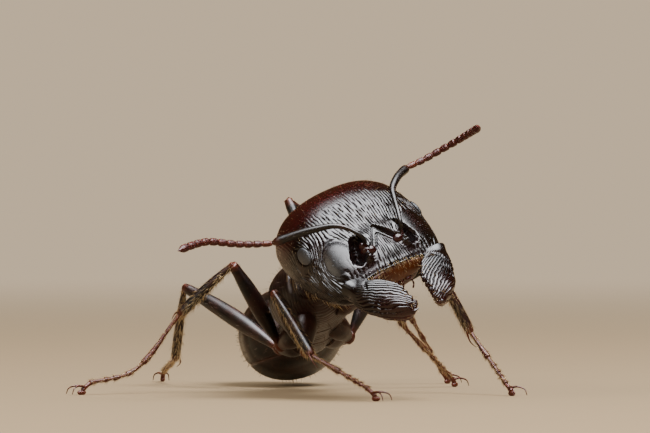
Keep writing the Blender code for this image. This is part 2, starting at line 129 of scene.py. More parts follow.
# Antennae, as places seen from the head's centre.
SCAPES = {
    "right": ((-0.46, -1.10, 0.92), (-0.59, -1.10, 1.26), (-0.78, -0.87, 1.44),
              (-0.99, -0.61, 1.49), (-1.41, -0.28, 1.40), (-1.85, 0.03, 1.24),
              (-2.34, 0.35, 1.02)),
    "left": ((0.50, -1.14, 0.90), (0.53, -1.18, 1.20), (0.65, -0.91, 1.38),
             (0.82, -0.52, 1.47), (0.98, -0.20, 1.52), (1.34, 0.13, 1.54),
             (1.92, 0.50, 1.43))}
FLAGELLA = {
    "right": ((-2.34, 0.35, 1.02), (-2.72, 0.50, 1.08), (-3.12, 0.62, 1.19),
              (-4.03, 0.78, 1.57), (-4.54, 0.66, 1.74), (-5.00, 0.49, 1.89)),
    "left": ((1.92, 0.50, 1.43), (2.31, 0.48, 1.45), (2.85, 0.36, 1.62),
             (3.21, 0.05, 1.95), (3.28, -0.42, 2.40), (3.20, -0.97, 2.89))}

# Legs: hip on the trunk, then trochanter, knee, ankle, heel (if bent there) and toe.
LEGS = {
    "front_right": ((-0.42, -0.35, -0.50), (-0.38, 1.88, 1.12), (-1.28, 0.50, 2.68),
                    (-0.37, -0.50, 1.12), (1.18, -1.60, 0.00)),
    "front_left": ((0.42, -0.35, -0.50), (1.05, 2.60, 2.40), (2.75, 2.50, 3.75),
                   (3.95, 2.93, 1.60), (4.90, 1.64, 0.00)),
    "middle_right": ((-0.42, 1.05, -0.45), (-0.90, 4.42, 1.20), (-2.20, 3.11, 3.35),
                     (-3.55, 3.62, 2.05), (-4.85, 3.39, 0.55), (-6.10, 2.94, 0.00)),
    "middle_left": ((0.42, 1.05, -0.45), (0.90, 4.45, 1.40), (2.08, 5.16, 3.80),
                    (2.42, 6.13, 1.70), (3.95, 7.89, 0.00)),
    "hind_right": ((-0.36, 2.15, -0.40), (-0.85, 5.60, 1.08), (-3.25, 8.22, 2.66),
                   (-3.45, 9.63, 0.70), (-3.70, 12.24, 0.00)),
    "hind_left": ((0.36, 2.15, -0.40), (0.85, 5.75, 1.35), (-0.55, 7.05, 5.00),
                  (2.15, 8.30, 3.00), (3.95, 10.24, 0.00))}
LEG_LOOKS = {"coxa": ("leg", "body_shell"), "femur": ("leg", "leg_shell"),
             "tibia": ("leg", "leg_shell"), "tarsus": ("bead", "tarsus_shell"),
             "foot": ("bead", "tarsus_shell")}     # finish and slot of each piece
FOOT_HEIGHT = 0.31
TARSUS_ENDS = (0.0, 0.50, 0.67, 0.79, 0.87, 1.0)   # shares of the foot's length
BEAD_LENGTHS = (0.95, 0.86, 0.86, 0.9, 0.9, 0.9, 0.95, 0.95, 0.95, 0.95, 1.7)

# Bristles: how many, length, lean down the rows, bend, radius at the root.
BRISTLES = {
    "crown": (430, 0.075, -1.4, -0.3, 0.0034), "long crown": (40, 0.17, -0.7, -0.2, 0.0036),
    "throat": (230, 0.20, -1.1, -0.5, 0.0042), "front edge": (90, 0.13, 2.4, 0.3, 0.0048),
    "jaw": (90, 0.12, 0.9, 0.2, 0.0042), "jaw edge": (30, 0.16, 0.5, 0.3, 0.0045),
    "lip": (110, 0.08, 1.6, 0.2, 0.0040), "scape": (200, 0.050, 1.5, 0.2, 0.0032),
    "bead": (80, 0.036, 1.5, 0.2, 0.0032), "trunk": (150, 0.17, 0.5, 0.3, 0.0042),
    "waist": (50, 0.17, 0.5, 0.3, 0.0042), "coxa": (40, 0.10, 0.8, 0.25, 0.0042),
    "femur": (130, 0.08, 1.2, 0.25, 0.0042), "tibia": (200, 0.09, 1.4, 0.25, 0.0042),
    "long tibia": (190, 0.13, 0.9, 0.35, 0.0048), "tarsus": (40, 0.085, 1.3, 0.2, 0.0048),
    "gaster": (100, 0.15, 1.0, 0.3, 0.0042)}
GASTER_BRISTLES = (480, 130, 110, 100)             # on each plate
TROCHANTER_BRISTLES = 10

# Stage: lights in millimetres from the ant's floor, the soft ceiling and the view.
LIGHTS = {
    "main_light": {"spot": (55, -60, 120), "size": 85, "power": "key",
                   "tint": (1.0, 0.985, 0.96)},
    "side_light": {"spot": (-122, -98, 62), "size": 75, "power": "fill",
                   "tint": (1.0, 0.88, 0.70)}}
LIGHT_AIM = (0, 0, 3)
FLOOR_HALF = 1.5                   # metres
FLOOR_FADE = (0.035, 0.16)         # metres from the middle: solid, then gone
CEILING_WAY = (0.05, -0.34, 0.94)
CEILING_EDGE = (0.735, 1.00)       # dot product with that way: dark, then full
CEILING_TINT = (0.98, 1, 1.04)
ROOM_TINT = (0.11, 0.058, 0.024)
BACKDROP = (0.68, 0.53, 0.36)
VIEW_WAY = (-3.5, 0.5)             # azimuth and elevation in degrees
VIEW_DISTANCE = 150.0
VIEW_AIM = (0, 0, 4.62)
VIEW_WIDTH = 16.455696202531646    # seen across at the aim
SENSOR = 36.0

# Shells: specular level, mottling of the warm tone and of the gloss, painted shade in the
# grooves.
SHELL_SHINE = 0.32
WARM_MOTTLE, ROUGH_MOTTLE = 0.8, 0.14
# Painted shade in the grooves: how much of it, and how dark it is against the shell's black.
GROOVE_SHADE_SHARE, GROOVE_PAINTED_SHADE = 0.6, 0.35


# ---------------------------------------------------------------- sizes and colours

def length(name, description, default):
    """A size in millimetres, kept as a plain number."""
    return FloatProperty(name=name, description=description, default=default, min=0.0)


def colour(name, description, default):
    """A linear colour without alpha."""
    return FloatVectorProperty(name=name, description=description, default=default,
                               subtype="COLOR", size=3, min=0.0, max=1.0)


class AntHead(PropertyGroup):
    """Carving of the head, its jaws and its feelers."""
    line_spacing: length("Line spacing", "Distance between the head's ridges, mm", 0.082)
    line_depth: length("Line depth", "Height of the head's ridges, mm", 0.022)
    pit_depth: length("Feeler pit", "Depth of the hollow around each feeler, mm", 0.36)
    lobe_height: length("Frontal lobe", "Height of the ridge over each feeler, mm", 0.13)
    jaw_spacing: length("Jaw ridge spacing", "Distance between the jaws' ridges, mm", 0.118)
    jaw_depth: length("Jaw ridge depth", "Height of the jaws' ridges, mm", 0.052)
    tooth: length("Tooth", "Length of a jaw's teeth, mm", 0.11)
    scape: length("Scape", "Radius of the feelers' first joint, mm", 0.108)
    bead: length("Bead", "Radius of the feelers' small joints, mm", 0.092)


class AntBody(PropertyGroup):
    """Carving of the trunk, waist and gaster, and thickness of the legs."""
    wrinkle_depth: length("Wrinkle depth", "Height of the trunk's wrinkles, mm", 0.016)
    plate_lip: length("Plate lip", "Step where one plate covers the next, mm", 0.035)
    femur: length("Femur", "Radius at the thickest part, mm", 0.235)
    tibia: length("Tibia", "Radius near its end, mm", 0.135)
    tarsus: length("Tarsus", "Radius of the tarsal joints, mm", 0.072)
    claw: length("Claw", "Length of a claw, mm", 0.34)


class AntColours(PropertyGroup):
    """Colours of the shell, eyes, mouthparts and hairs."""
    shell: colour("Shell", "Black of the shell", (0.0060, 0.0042, 0.0038))
    # On the back and top of the head this wine red also serves as a painted reflection of the
    # warm horizon.
    wine: colour("Wine red", "Warm tone where the shell lets light through",
                 (0.045, 0.0055, 0.0050))
    rust: colour("Rust", "Feelers, joints and feet", (0.110, 0.022, 0.0085))
    eye: colour("Eye", "Compound eyes", (0.052, 0.055, 0.062))
    amber: colour("Amber", "Mouthparts", (0.13, 0.034, 0.006))
    hair: colour("Hair", "Pale bristles", (0.66, 0.47, 0.24))
    dark_hair: colour("Dark hair", "Bristles of the trunk and gaster", (0.10, 0.055, 0.025))


class AntStage(PropertyGroup):
    """Floor, lights and camera."""
    floor: colour("Floor", "Pale floor", (0.84, 0.62, 0.38))
    key: FloatProperty(name="Main light", description="Power of the large light above",
                       default=0.15, min=0.0, subtype="POWER")
    fill: FloatProperty(name="Side light", description="Power of the side light",
                        default=0.06, min=0.0, subtype="POWER")
    world: FloatProperty(name="Room", description="Even brightness of the room",
                         default=0.34, min=0.0)
    ceiling: FloatProperty(name="Ceiling", description="Brightness of the soft light ceiling",
                           default=34.0, min=0.0)


# ---------------------------------------------------------------- shapes as arrays

def turn(yaw, pitch, roll):
    """Rotation by roll about y, then pitch about x, then yaw about z."""
    a, b, c = radians(yaw), radians(-pitch), radians(-roll)
    about_z = np.array([[cos(a), -sin(a), 0], [sin(a), cos(a), 0], [0, 0, 1]])
    about_x = np.array([[1, 0, 0], [0, cos(b), -sin(b)], [0, sin(b), cos(b)]])
    about_y = np.array([[cos(c), 0, sin(c)], [0, 1, 0], [-sin(c), 0, cos(c)]])
    return about_z @ about_x @ about_y


def placed(posture, points):
    """Local points carried to the ant's own axes: turned, then moved to the part's centre."""
    return np.asarray(points, float) @ turn(*posture[1:]).T + np.array(posture[0])


def blend(stations, where):
    """Cubic Hermite curve through stations, whose first column is the place along the body."""
    table = np.array(stations, float)
    at, values = table[:, 0], table[:, 1:]
    slope = np.gradient(values, at, axis=0)
    k = np.clip(np.searchsorted(at, where) - 1, 0, len(at) - 2)
    step = (at[k + 1] - at[k])[:, None]
    t = ((where - at[k]) / (at[k + 1] - at[k]))[:, None]
    return ((1 + 2 * t) * (1 - t) ** 2 * values[k] + t * (1 - t) ** 2 * step * slope[k]
            + t * t * (3 - 2 * t) * values[k + 1] + t * t * (t - 1) * step * slope[k + 1])


def smooth_path(points, count, before=0.0, after=0.0):
    """Evenly spaced places on the smooth curve through points, short of its ends if asked."""
    points = np.array(points, float)
    run = np.r_[0, np.cumsum(np.linalg.norm(np.diff(points, axis=0), axis=1))]
    return blend(np.c_[run, points], np.linspace(before, run[-1] - after, count))


def spread(count, low, high, *peaks):
    """Rising places from low to high, closer together round each peak (centre, gain, width)."""
    fine = np.linspace(low, high, 4000)
    density = np.ones(4000)
    for centre, gain, width in peaks:
        density += gain * np.exp(-((fine - centre) / width) ** 2)
    total = np.r_[0, np.cumsum((density[1:] + density[:-1]) / 2)]
    return np.interp(np.linspace(0, total[-1], count), total, fine)


def rise(low, high, value):
    """Smooth step from 0 at low to 1 at high."""
    t = np.clip((value - low) / (high - low), 0, 1)
    return t * t * (3 - 2 * t)


def bell(value, width):
    """Bell curve: 1 at zero, falling off over the width."""
    return np.exp(-(value / width) ** 2)


def unevenness(points, size, seed):
    """Smooth wandering value about 0: sines of random directions, summed over places."""
    chance = np.random.default_rng(seed)
    waves = chance.normal(size=(3, 7)) * 2 * pi / size / 1.7
    return np.sin(points @ waves + chance.uniform(0, 2 * pi, 7)).mean(axis=-1)


def to_segment(x, y, start, end):
    """Distance in the plane to a straight stretch, and the share of the way along it."""
    (x0, y0), (x1, y1) = start, end
    share = ((x - x0) * (x1 - x0) + (y - y0) * (y1 - y0)) / ((x1 - x0) ** 2 + (y1 - y0) ** 2)
    t = np.clip(share, 0, 1)
    return np.hypot(x - x0 - t * (x1 - x0), y - y0 - t * (y1 - y0)), t


def loft(stations, along, angle, power):
    """Superellipse rings: across = width |cos|^(2/power), up = height |sin|^(2/power)."""
    shape = blend(stations, along)
    across = np.sign(np.cos(angle)) * np.abs(np.cos(angle)) ** (2 / power)
    upward = np.sign(np.sin(angle)) * np.abs(np.sin(angle)) ** (2 / power)
    height = np.where(upward >= 0, shape[:, 1:2], shape[:, 2:3]) * upward
    return np.stack([shape[:, :1] * across, along[:, None] + 0 * height, height], axis=2)


def outward(grid):
    """Unit normals of closed rings: cross product of the steps round and along them."""
    around = np.roll(grid, -1, axis=1) - np.roll(grid, 1, axis=1)
    normal = np.cross(around, np.gradient(grid, axis=0))
    normal /= np.linalg.norm(normal, axis=2, keepdims=True) + 1e-12
    away = grid - grid.mean(axis=1, keepdims=True)
    return normal * np.sign((normal * away).sum())


def raised(grid, height):
    """Rings moved along their own normals by a height for each vertex."""
    return grid + outward(grid) * height[..., None]


def limb(path, radii, sides=24, flat=1.0):
    """Rings round a path, in planes across it, each with its own radius.

    The rings are turned against the direction in which the path spreads least, so they
    don't twist, and flat squeezes them in that direction.
    """
    path = np.asarray(path, float)
    step = np.gradient(path, axis=0)
    step /= np.linalg.norm(step, axis=1, keepdims=True)
    steady = np.linalg.svd(path - path.mean(axis=0))[2][-1]
    side = np.cross(step, steady)
    side /= np.linalg.norm(side, axis=1, keepdims=True)
    up = np.cross(side, step)
    angle = 2 * pi * np.arange(sides) / sides
    radii = np.broadcast_to(np.asarray(radii, float), len(path))[:, None, None]
    ring = side[:, None] * np.cos(angle)[:, None] + flat * up[:, None] * np.sin(angle)[:, None]
    return path[:, None] + radii * ring


def ball(centre, size, axes=np.eye(3), rows=16, sides=24):
    """Ellipsoid: rings at even angles from pole to pole of its first axis."""
    polar = np.linspace(0.12, pi - 0.12, rows)[:, None]
    angle = 2 * pi * np.arange(sides) / sides
    local = np.stack([np.cos(polar) + 0 * angle, np.sin(polar) * np.cos(angle),
                      np.sin(polar) * np.sin(angle)], axis=2) * np.array(size)
    return local @ np.asarray(axes) + np.array(centre)


class Form:
    """Gathers closed surfaces into one mesh, with named values on their vertices."""

    def __init__(self):
        self.points, self.quads, self.fans, self.values, self.count = [], [], [], [], 0
        self.grids = []

    def add(self, grid, **values):
        """Surface of closed rings, faced outwards, each end closed by a fan to its middle."""
        self.grids.append(grid)
        rows, cols = grid.shape[:2]
        points = np.concatenate([grid.reshape(-1, 3), grid[[0, -1]].mean(axis=1)])
        near = np.arange(rows * cols).reshape(rows, cols)
        next_one = np.roll(near, -1, axis=1)
        quads = np.stack([near[:-1], next_one[:-1], next_one[1:], near[1:]], axis=-1)
        quads = quads.reshape(-1, 4)
        first, last = np.full(cols, rows * cols), np.full(cols, rows * cols + 1)
        fans = np.concatenate([np.stack([first, next_one[0], near[0]], axis=-1),
                               np.stack([last, near[-1], next_one[-1]], axis=-1)])
        flat = np.concatenate([quads[:, :3], quads[:, [0, 2, 3]], fans])
        a, b, c = (points - points.mean(axis=0))[flat].transpose(1, 0, 2)
        if (a * np.cross(b, c)).sum() < 0:
            quads, fans = quads[:, ::-1], fans[:, ::-1]
        spread_out = {}
        for key, value in values.items():
            full = np.broadcast_to(np.asarray(value, float), (rows, cols))
            spread_out[key] = np.r_[full.ravel(), full[0].mean(), full[-1].mean()]
        self.points.append(points)
        self.quads.append(quads + self.count)
        self.fans.append(fans + self.count)
        self.values.append((len(points), spread_out))
        self.count += len(points)
        return self

    def build(self, name, material, slot, *nodes):
        """Put the surfaces into a mesh in metres and hang it on the frame."""
        points = (np.concatenate(self.points) - STANCE_CENTRE) * MM
        mesh = mesh_from(name, points, np.concatenate(self.quads), np.concatenate(self.fans))
        for key in sorted({key for _, values in self.values for key in values}):
            column = np.concatenate([values.get(key, np.zeros(size))
                                     for size, values in self.values])
            layer = mesh.attributes.new(key, "FLOAT", "POINT")
            layer.data.foreach_set("value", column.astype(np.float32))
        return hang(name, mesh, material, slot, *nodes)


def mesh_from(name, points, quads, fans):
    """Smooth mesh from whole arrays of places in metres, four-sided and three-sided faces."""
    mesh = bpy.data.meshes.new(name)
    mesh.vertices.add(len(points))
    mesh.vertices.foreach_set("co", points.astype(np.float32).ravel())
    corners = np.r_[quads.ravel(), fans.ravel()].astype(np.int32)
    mesh.loops.add(len(corners))
    mesh.loops.foreach_set("vertex_index", corners)
    starts = np.r_[4 * np.arange(len(quads)), 4 * len(quads) + 3 * np.arange(len(fans))]
    mesh.polygons.add(len(starts))
    mesh.polygons.foreach_set("loop_start", starts.astype(np.int32))
    mesh.update(calc_edges=True)
    mesh.shade_smooth()
    return mesh


def hang(name, mesh, material, slot, *nodes):
    """Object of a finished mesh: linked, riding on the ant, standing for CAD nodes."""
    mesh.materials.append(material)
    thing = bpy.data.objects.new(name, mesh)
    bpy.context.scene.collection.objects.link(thing)
    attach(thing, "root")
    if nodes:
        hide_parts(*nodes)
    return thing


# ---------------------------------------------------------------- finishes

def node(tree, kind, inputs=None, **settings):
    """One shader node, its inputs given as values or as other nodes' sockets."""
    made = tree.nodes.new("ShaderNode" + kind)
    for key, value in settings.items():
        setattr(made, key, value)
    for key, value in (inputs or {}).items():
        if isinstance(value, bpy.types.NodeSocket):
            tree.links.new(value, made.inputs[key])
        else:
            made.inputs[key].default_value = value
    return made


def maths(tree, operation, first, second=0.0, clamp=False):
    """Result socket of one Math node."""
    return node(tree, "Math", {0: first, 1: second}, operation=operation,
                use_clamp=clamp).outputs[0]


def mixed(tree, share, first, second):
    """Result socket of a colour mix; share 0 gives the first."""
    return node(tree, "Mix", {0: share, 6: first, 7: second},
                data_type="RGBA").outputs[2]


def group(name, inputs, output_names):
    """Empty node group with number inputs and outputs, or None for one already made."""
    if name in bpy.data.node_groups:
        return None, None, None
    tree = bpy.data.node_groups.new(name, "ShaderNodeTree")
    for label, default in inputs.items():
        socket = tree.interface.new_socket(label, in_out="INPUT", socket_type="NodeSocketFloat")
        socket.default_value = default
    for label in output_names:
        tree.interface.new_socket(label, in_out="OUTPUT", socket_type="NodeSocketFloat")
    return tree, tree.nodes.new("NodeGroupInput"), tree.nodes.new("NodeGroupOutput")


def stepped(tree, value, start, end, low=0.0, high=1.0, **settings):
    """Result socket of a map from start..end to low..high, held at both ends."""
    return node(tree, "MapRange", {"Value": value, "From Min": start, "From Max": end,
                                   "To Min": low, "To Max": high}, **settings).outputs["Result"]


def attribute(tree, name):
    """A piece's own named value."""
    return node(tree, "Attribute", attribute_name=name).outputs["Fac"]


def carved_lines():
    """Grooves along the level lines of a phase, waxing and waning along their length.

    Depth is 1 - |sin(pi phase)|^0.8, times the amount and a streaky noise.
    """
    inputs = {"Phase": 0.0, "Along": 0.0, "Amount": 1.0, "Wander": 0.25, "Size": 5200.0}
    tree, given, result = group("Carved lines", inputs, ("Height", "Groove"))
    if tree:
        place = node(tree, "TexCoord").outputs["Object"]
        noise = node(tree, "TexNoise", {"Vector": place, "Scale": given.outputs["Size"],
                                        "Detail": 2.0}).outputs["Fac"]
        shift = maths(tree, "MULTIPLY", maths(tree, "SUBTRACT", noise, 0.5),
                      given.outputs["Wander"])
        phase = maths(tree, "ADD", given.outputs["Phase"], shift)
        streak = node(tree, "CombineXYZ", {0: phase, 1: given.outputs["Along"]})
        streak = node(tree, "TexNoise", {"Vector": streak.outputs[0], "Scale": 1.0,
                                         "Detail": 1.0}).outputs["Fac"]
        streak = stepped(tree, streak, 0.36, 0.66, 0.06, 1.25)
        wave = maths(tree, "ABSOLUTE", maths(tree, "SINE", maths(tree, "MULTIPLY", phase, pi)))
        cut = maths(tree, "SUBTRACT", 1.0, maths(tree, "POWER", wave, 0.8))
        cut = maths(tree, "MULTIPLY", cut, given.outputs["Amount"])
        cut = maths(tree, "MULTIPLY", cut, streak)
        tree.links.new(maths(tree, "MULTIPLY", cut, -1.0), result.inputs["Height"])
        tree.links.new(cut, result.inputs["Groove"])
    return bpy.data.node_groups["Carved lines"]


def shell_grain():
    """Fine leathery net of cells, hair pits and slow mottling of a horny shell."""
    tree, given, result = group("Shell grain", {"Cell size": 30000.0, "Pit size": 7000.0},
                                ("Cells", "Pits", "Mottle"))
    if tree:
        place = node(tree, "TexCoord").outputs["Object"]
        cells = node(tree, "TexVoronoi", {"Vector": place, "Scale": given.outputs["Cell size"]},
                     feature="DISTANCE_TO_EDGE").outputs["Distance"]
        pits = node(tree, "TexVoronoi", {"Vector": place, "Scale": given.outputs["Pit size"]},
                    feature="F1").outputs["Distance"]
        mottle = node(tree, "TexNoise", {"Vector": place, "Scale": 1600.0, "Detail": 5.0,
                                         "Roughness": 0.6}).outputs["Fac"]
        hollow = stepped(tree, pits, 0.05, 0.17, -1.0, 0.0, interpolation_type="SMOOTHSTEP")
        tree.links.new(stepped(tree, cells, 0.0, 0.12), result.inputs["Cells"])
        tree.links.new(hollow, result.inputs["Pits"])
        tree.links.new(mottle, result.inputs["Mottle"])
    return bpy.data.node_groups["Shell grain"]


def new_material(name):
    """Fresh material with its node tree and its Principled shader."""
    material = bpy.data.materials.new(name)
    material.use_nodes = True
    tree = material.node_tree
    return material, tree, tree.nodes["Principled BSDF"]


def shell_finish(name, deep, warm, roughness, lines=0.0, cells=0.0005, pits=0.003,
                 cell_size=30000.0, pit_size=7000.0, wander=0.7):
    """Horny shell: dark gloss, warm where the piece's own value says, carved and grained.

    The bump is lines, cells and pits, each in millimetres. The warm share is the piece's
    value plus the mottling about its middle, and the grooves' base colour is darkened as painted
    shade.
    """
    if name in bpy.data.materials:
        return bpy.data.materials[name]
    material, tree, shader = new_material(name)
    carved = node(tree, "Group", node_tree=carved_lines())
    for key, value in (("Phase", "phase"), ("Amount", "lines"), ("Along", "along")):
        tree.links.new(attribute(tree, value), carved.inputs[key])
    carved.inputs["Wander"].default_value = wander
    grain = node(tree, "Group", node_tree=shell_grain())
    grain.inputs["Cell size"].default_value = cell_size
    grain.inputs["Pit size"].default_value = pit_size
    mottle = grain.outputs["Mottle"]
    height = maths(tree, "MULTIPLY", carved.outputs["Height"], lines)
    for key, depth in (("Cells", cells), ("Pits", pits)):
        height = maths(tree, "ADD", height, maths(tree, "MULTIPLY", grain.outputs[key], depth))
    bump = node(tree, "Bump", {"Height": height, "Distance": MM, "Strength": 1.0})
    share = maths(tree, "MULTIPLY", maths(tree, "SUBTRACT", mottle, 0.5), WARM_MOTTLE)
    share = maths(tree, "ADD", attribute(tree, "warm"), share, clamp=True)
    tone = mixed(tree, share, (*deep, 1), (*warm, 1))
    # Painted shade: along the grooves the base colour is darkened towards a deeper black.
    tone = mixed(tree, maths(tree, "MULTIPLY", carved.outputs["Groove"], GROOVE_SHADE_SHARE), tone,
                 (*[channel * GROOVE_PAINTED_SHADE for channel in deep], 1))
    rough = maths(tree, "ADD", roughness - 0.06, maths(tree, "MULTIPLY", mottle,
                                                       ROUGH_MOTTLE))
    tree.links.new(tone, shader.inputs["Base Color"])
    tree.links.new(rough, shader.inputs["Roughness"])
    tree.links.new(bump.outputs["Normal"], shader.inputs["Normal"])
    shader.inputs["Specular IOR Level"].default_value = SHELL_SHINE
    return material


def finishes():
    """All of the ant's materials by use."""
    tint = bpy.context.scene.ant_colours
    shell, wine, rust = tuple(tint.shell), tuple(tint.wine), tuple(tint.rust)
    eye, amber = tuple(tint.eye), tuple(tint.amber)
    depth = bpy.context.scene.ant_head.line_depth
    wrinkles = bpy.context.scene.ant_body.wrinkle_depth
    return {
        "head": shell_finish("carved head shell", shell, wine, 0.18, lines=depth, pits=0.006),
        "jaw": shell_finish("ridged jaw shell", shell, wine, 0.14),
        "eye": shell_finish("faceted eye", eye, eye, 0.30, cells=0.002, pits=0.0,
                            cell_size=42000.0),
        "scape": shell_finish("feeler shell", shell, rust, 0.30, pits=0.002),
        "socket": shell_finish("feeler bulb shell", shell, wine, 0.15),
        "bead": shell_finish("bead shell", wine, rust, 0.36, cells=0.0012, cell_size=45000.0,
                             pit_size=16000.0),
        "trunk": shell_finish("wrinkled trunk shell", shell, wine, 0.30, lines=wrinkles,
                              pits=0.004, wander=0.9),
        "gaster": shell_finish("satin gaster shell", shell, rust, 0.30, cells=0.0006,
                               cell_size=26000.0, pit_size=5200.0),
        "leg": shell_finish("leg shell", shell, rust, 0.36, cells=0.0006, pit_size=9000.0),
        "amber": shell_finish("amber mouthpart", amber, wine, 0.34, lines=0.006,
                              cells=0.0008, pits=0.0),
    }


# ---------------------------------------------------------------- head

def head_relief(plain, measures):
    """Height of the head's carving over its plain rings, and the crest of the lobes.

    Round each feeler lies a trough: a hollow by distance to a slanting stretch, of uneven
    width, with a mound at its front end. Beside it stands a frontal lobe with a crest on
    its outer edge. Then come the V of the frontal triangle with its two grooves, the raised
    and hollowed face inside the V, the clypeus edge, a groove down the middle, a smooth
    disc on each cheek inside a fine groove, and a hollow with a rim for each eye.
    """
    sizes = bpy.context.scene.ant_head
    x, y, z = plain.transpose(2, 0, 1)
    side, top, t, pit, arm, cheek = (measures[key] for key in (
        "side", "top", "trough_share", "pit", "arm", "cheek"))
    mound = np.hypot(side - MOUND[0], 0.8 * (y - MOUND[1]))
    height = -sizes.pit_depth * pit * (1 - 0.35 * t) + 0.15 * bell(mound, 0.11)
    height += (0.05 * pit + 0.06 * bell(mound, 0.12)) * unevenness(plain, 0.07, 33)
    # Frontal lobes, between the V's arm and their own outer edge.
    edge = 0.51 + 0.15 * (y + 0.60)
    reach = rise(-0.50, -0.95, y) * rise(-1.42, -1.30, y) * top
    height += sizes.lobe_height * reach * rise(-0.02, 0.02, side - arm) * rise(
        0.02, -0.02, side - edge)
    crest = reach * bell(side - edge + 0.02, 0.035) * rise(-0.03, 0.03, side - arm)
    height += 0.035 * crest
    # Two grooves of the V, and the face between its arms.
    height -= 0.075 * bell(side - arm, 0.030) * rise(-0.60, -0.70, y) * rise(-1.30, -1.15, y)
    height -= 0.045 * bell(side - arm + 0.14, 0.026) * rise(-0.84, -0.92, y) * rise(
        -1.36, -1.15, y)
    inside = rise(0, 0.06 + 0.40 * rise(-1.10, -1.45, y), arm - side)
    height += inside * (0.050 * rise(-1.00, -1.45, y) - 0.02 * bell(y + 0.85, 0.12))
    # Clypeus edge, middle groove and cheek disc.
    height += 0.010 * bell(y + 1.64, 0.05) * bell(side, 1.0)
    height -= 0.016 * bell(side, 0.016) * rise(-0.72, -0.60, y) * rise(0.95, 0.2, y)
    height += 0.004 * (1 - rise(0.15, 0.45, cheek)) - 0.009 * bell(cheek - 0.40, 0.022) * rise(
        0.0, 0.25, y - CHEEK_DISC[1])
    height *= top
    # Eye hollows, and the shallow dip at the middle of the back edge.
    ex, ey, ez = side - EYE_CENTRE[0], y - EYE_CENTRE[1], z - EYE_CENTRE[2]
    around_eye = np.sqrt((ey / EYE_SIZE[1]) ** 2 + (ez / EYE_SIZE[2]) ** 2 + (ex / 0.4) ** 2)
    height += 0.010 * bell(around_eye - 1.35, 0.25) - 0.03 * (1 - rise(0.7, 1.0, around_eye))
    height -= 0.05 * bell(x, 0.45) * rise(1.30, 1.75, y)
    return height, crest


def head_lines(plain, angle, measures):
    """Phase and strength of the head's fine ridges.

    The phase is a stream function: distance round the ring from the middle of the top,
    less radius squared times that distance over the squared distance from each calm spot.
    The ridges fade at the back, below, on the cheek discs, in the troughs and in the V.
    """
    _, y, z = plain.transpose(2, 0, 1)
    side, top, arm, cheek = (measures[key] for key in ("side", "top", "arm", "cheek"))
    step = np.linalg.norm(np.roll(plain, -1, axis=1) - plain, axis=2)
    arc = np.cumsum(step, axis=1) - step
    middle = np.argmin(np.abs(angle - pi / 2))
    arc = arc[:, middle:middle + 1] - arc
    flow = arc.copy()
    for centre, place, radius in CALM_SPOTS:
        for sign in (-1, 1):
            away = (arc - sign * centre) ** 2 + (y - place) ** 2
            flow -= radius ** 2 * (arc - sign * centre) / np.maximum(away, radius ** 2)
    lines = rise(0.75, -0.05, y) * rise(-0.75, -0.30, z) * (0.5 + 0.5 * top)
    lines = np.maximum(lines, 0.15 * rise(-0.9, -0.4, z)) * (
        0.10 + 0.90 * rise(0.26, 0.52, cheek))
    lines *= 1 - top * (1 - rise(0.5, 0.8, measures["trough"] / measures["trough_width"]))
    lines *= 1 + 1.1 * rise(0.40, 0.10, z) * rise(-0.6, -0.15, z) * rise(0.1, -0.5, y)
    lines *= 1 - top * bell(side - arm + 0.05, 0.11) * rise(-0.55, -0.70, y)
    return flow / bpy.context.scene.ant_head.line_spacing, lines


def head_surface():
    """The head's own rings with their carving, in head coordinates, and their values.

    The CAD's loft is raised along its normals by the relief. Then the lobes lean over the
    feeler pits, the clypeus is drawn forwards, the underside is lifted at the front, and
    the front is closed by a lip that turns in to the mouth's hollow.
    """
    angle = spread(HEAD_SIDES + 1, -pi / 2, 1.5 * pi, (pi / 2, 1.9, 0.85))[:-1]
    along = spread(HEAD_RINGS, HEAD[0][0], HEAD[-1][0], (-1.30, 1.3, 0.55))
    plain = loft(HEAD, along, angle, HEAD_POWER)
    x, y, z = plain.transpose(2, 0, 1)
    side, top = np.abs(x), rise(-0.15, 0.25, z)
    trough, t = to_segment(side, y, *TROUGH)
    width = 0.215 - 0.045 * t + 0.035 * unevenness(plain, 0.16, 21) * rise(0.9, 0.2, t)
    cheek = np.hypot(side - CHEEK_DISC[0], 0.9 * (y - CHEEK_DISC[1]))
    measures = {"side": side, "top": top, "trough": trough, "trough_share": t,
                "trough_width": width, "pit": 1 - rise(0.05, 1.15, trough / width),
                "arm": 0.71 * (-0.66 - y), "cheek": cheek}
    height, crest = head_relief(plain, measures)
    grid = raised(plain, height)
    grid[..., 0] += 0.07 * crest * np.sign(x)
    reach = rise(-1.25, -1.70, y)
    grid[..., 1] += reach * (0.40 * rise(0.05, -0.30, z)
                             + 0.05 * top * bell(side - 0.75, 0.35))
    grid[..., 2] += 0.25 * rise(-0.9, -1.65, y) * rise(-0.1, -0.5, z) * bell(side, 1.1)
    phase, lines = head_lines(plain, angle, measures)
    # Wine tone towards the back and top of the head: partly the shell's own colour, partly a
    # painted reflection of the warm horizon.
    warm = 0.85 * rise(0.15, 0.95, y) * rise(-0.5, 0.4, z) + 0.06
    warm += 0.15 * bell(trough, 0.12) * top
    values = {"phase": phase, "along": y * 3.0 + z, "lines": lines, "warm": warm}
    rim, centre = grid[0], grid[0].mean(axis=0)
    lip = [centre + (rim - centre) * (1 - shrink) + (0, ahead, 0)
           for shrink, ahead in MOUTH_RIM]
    values = {key: np.concatenate([np.repeat(value[:1], len(lip), axis=0), value])
              for key, value in values.items()}
    values["lines"][:len(lip)] *= 0.2
    return np.concatenate([lip, grid]), values


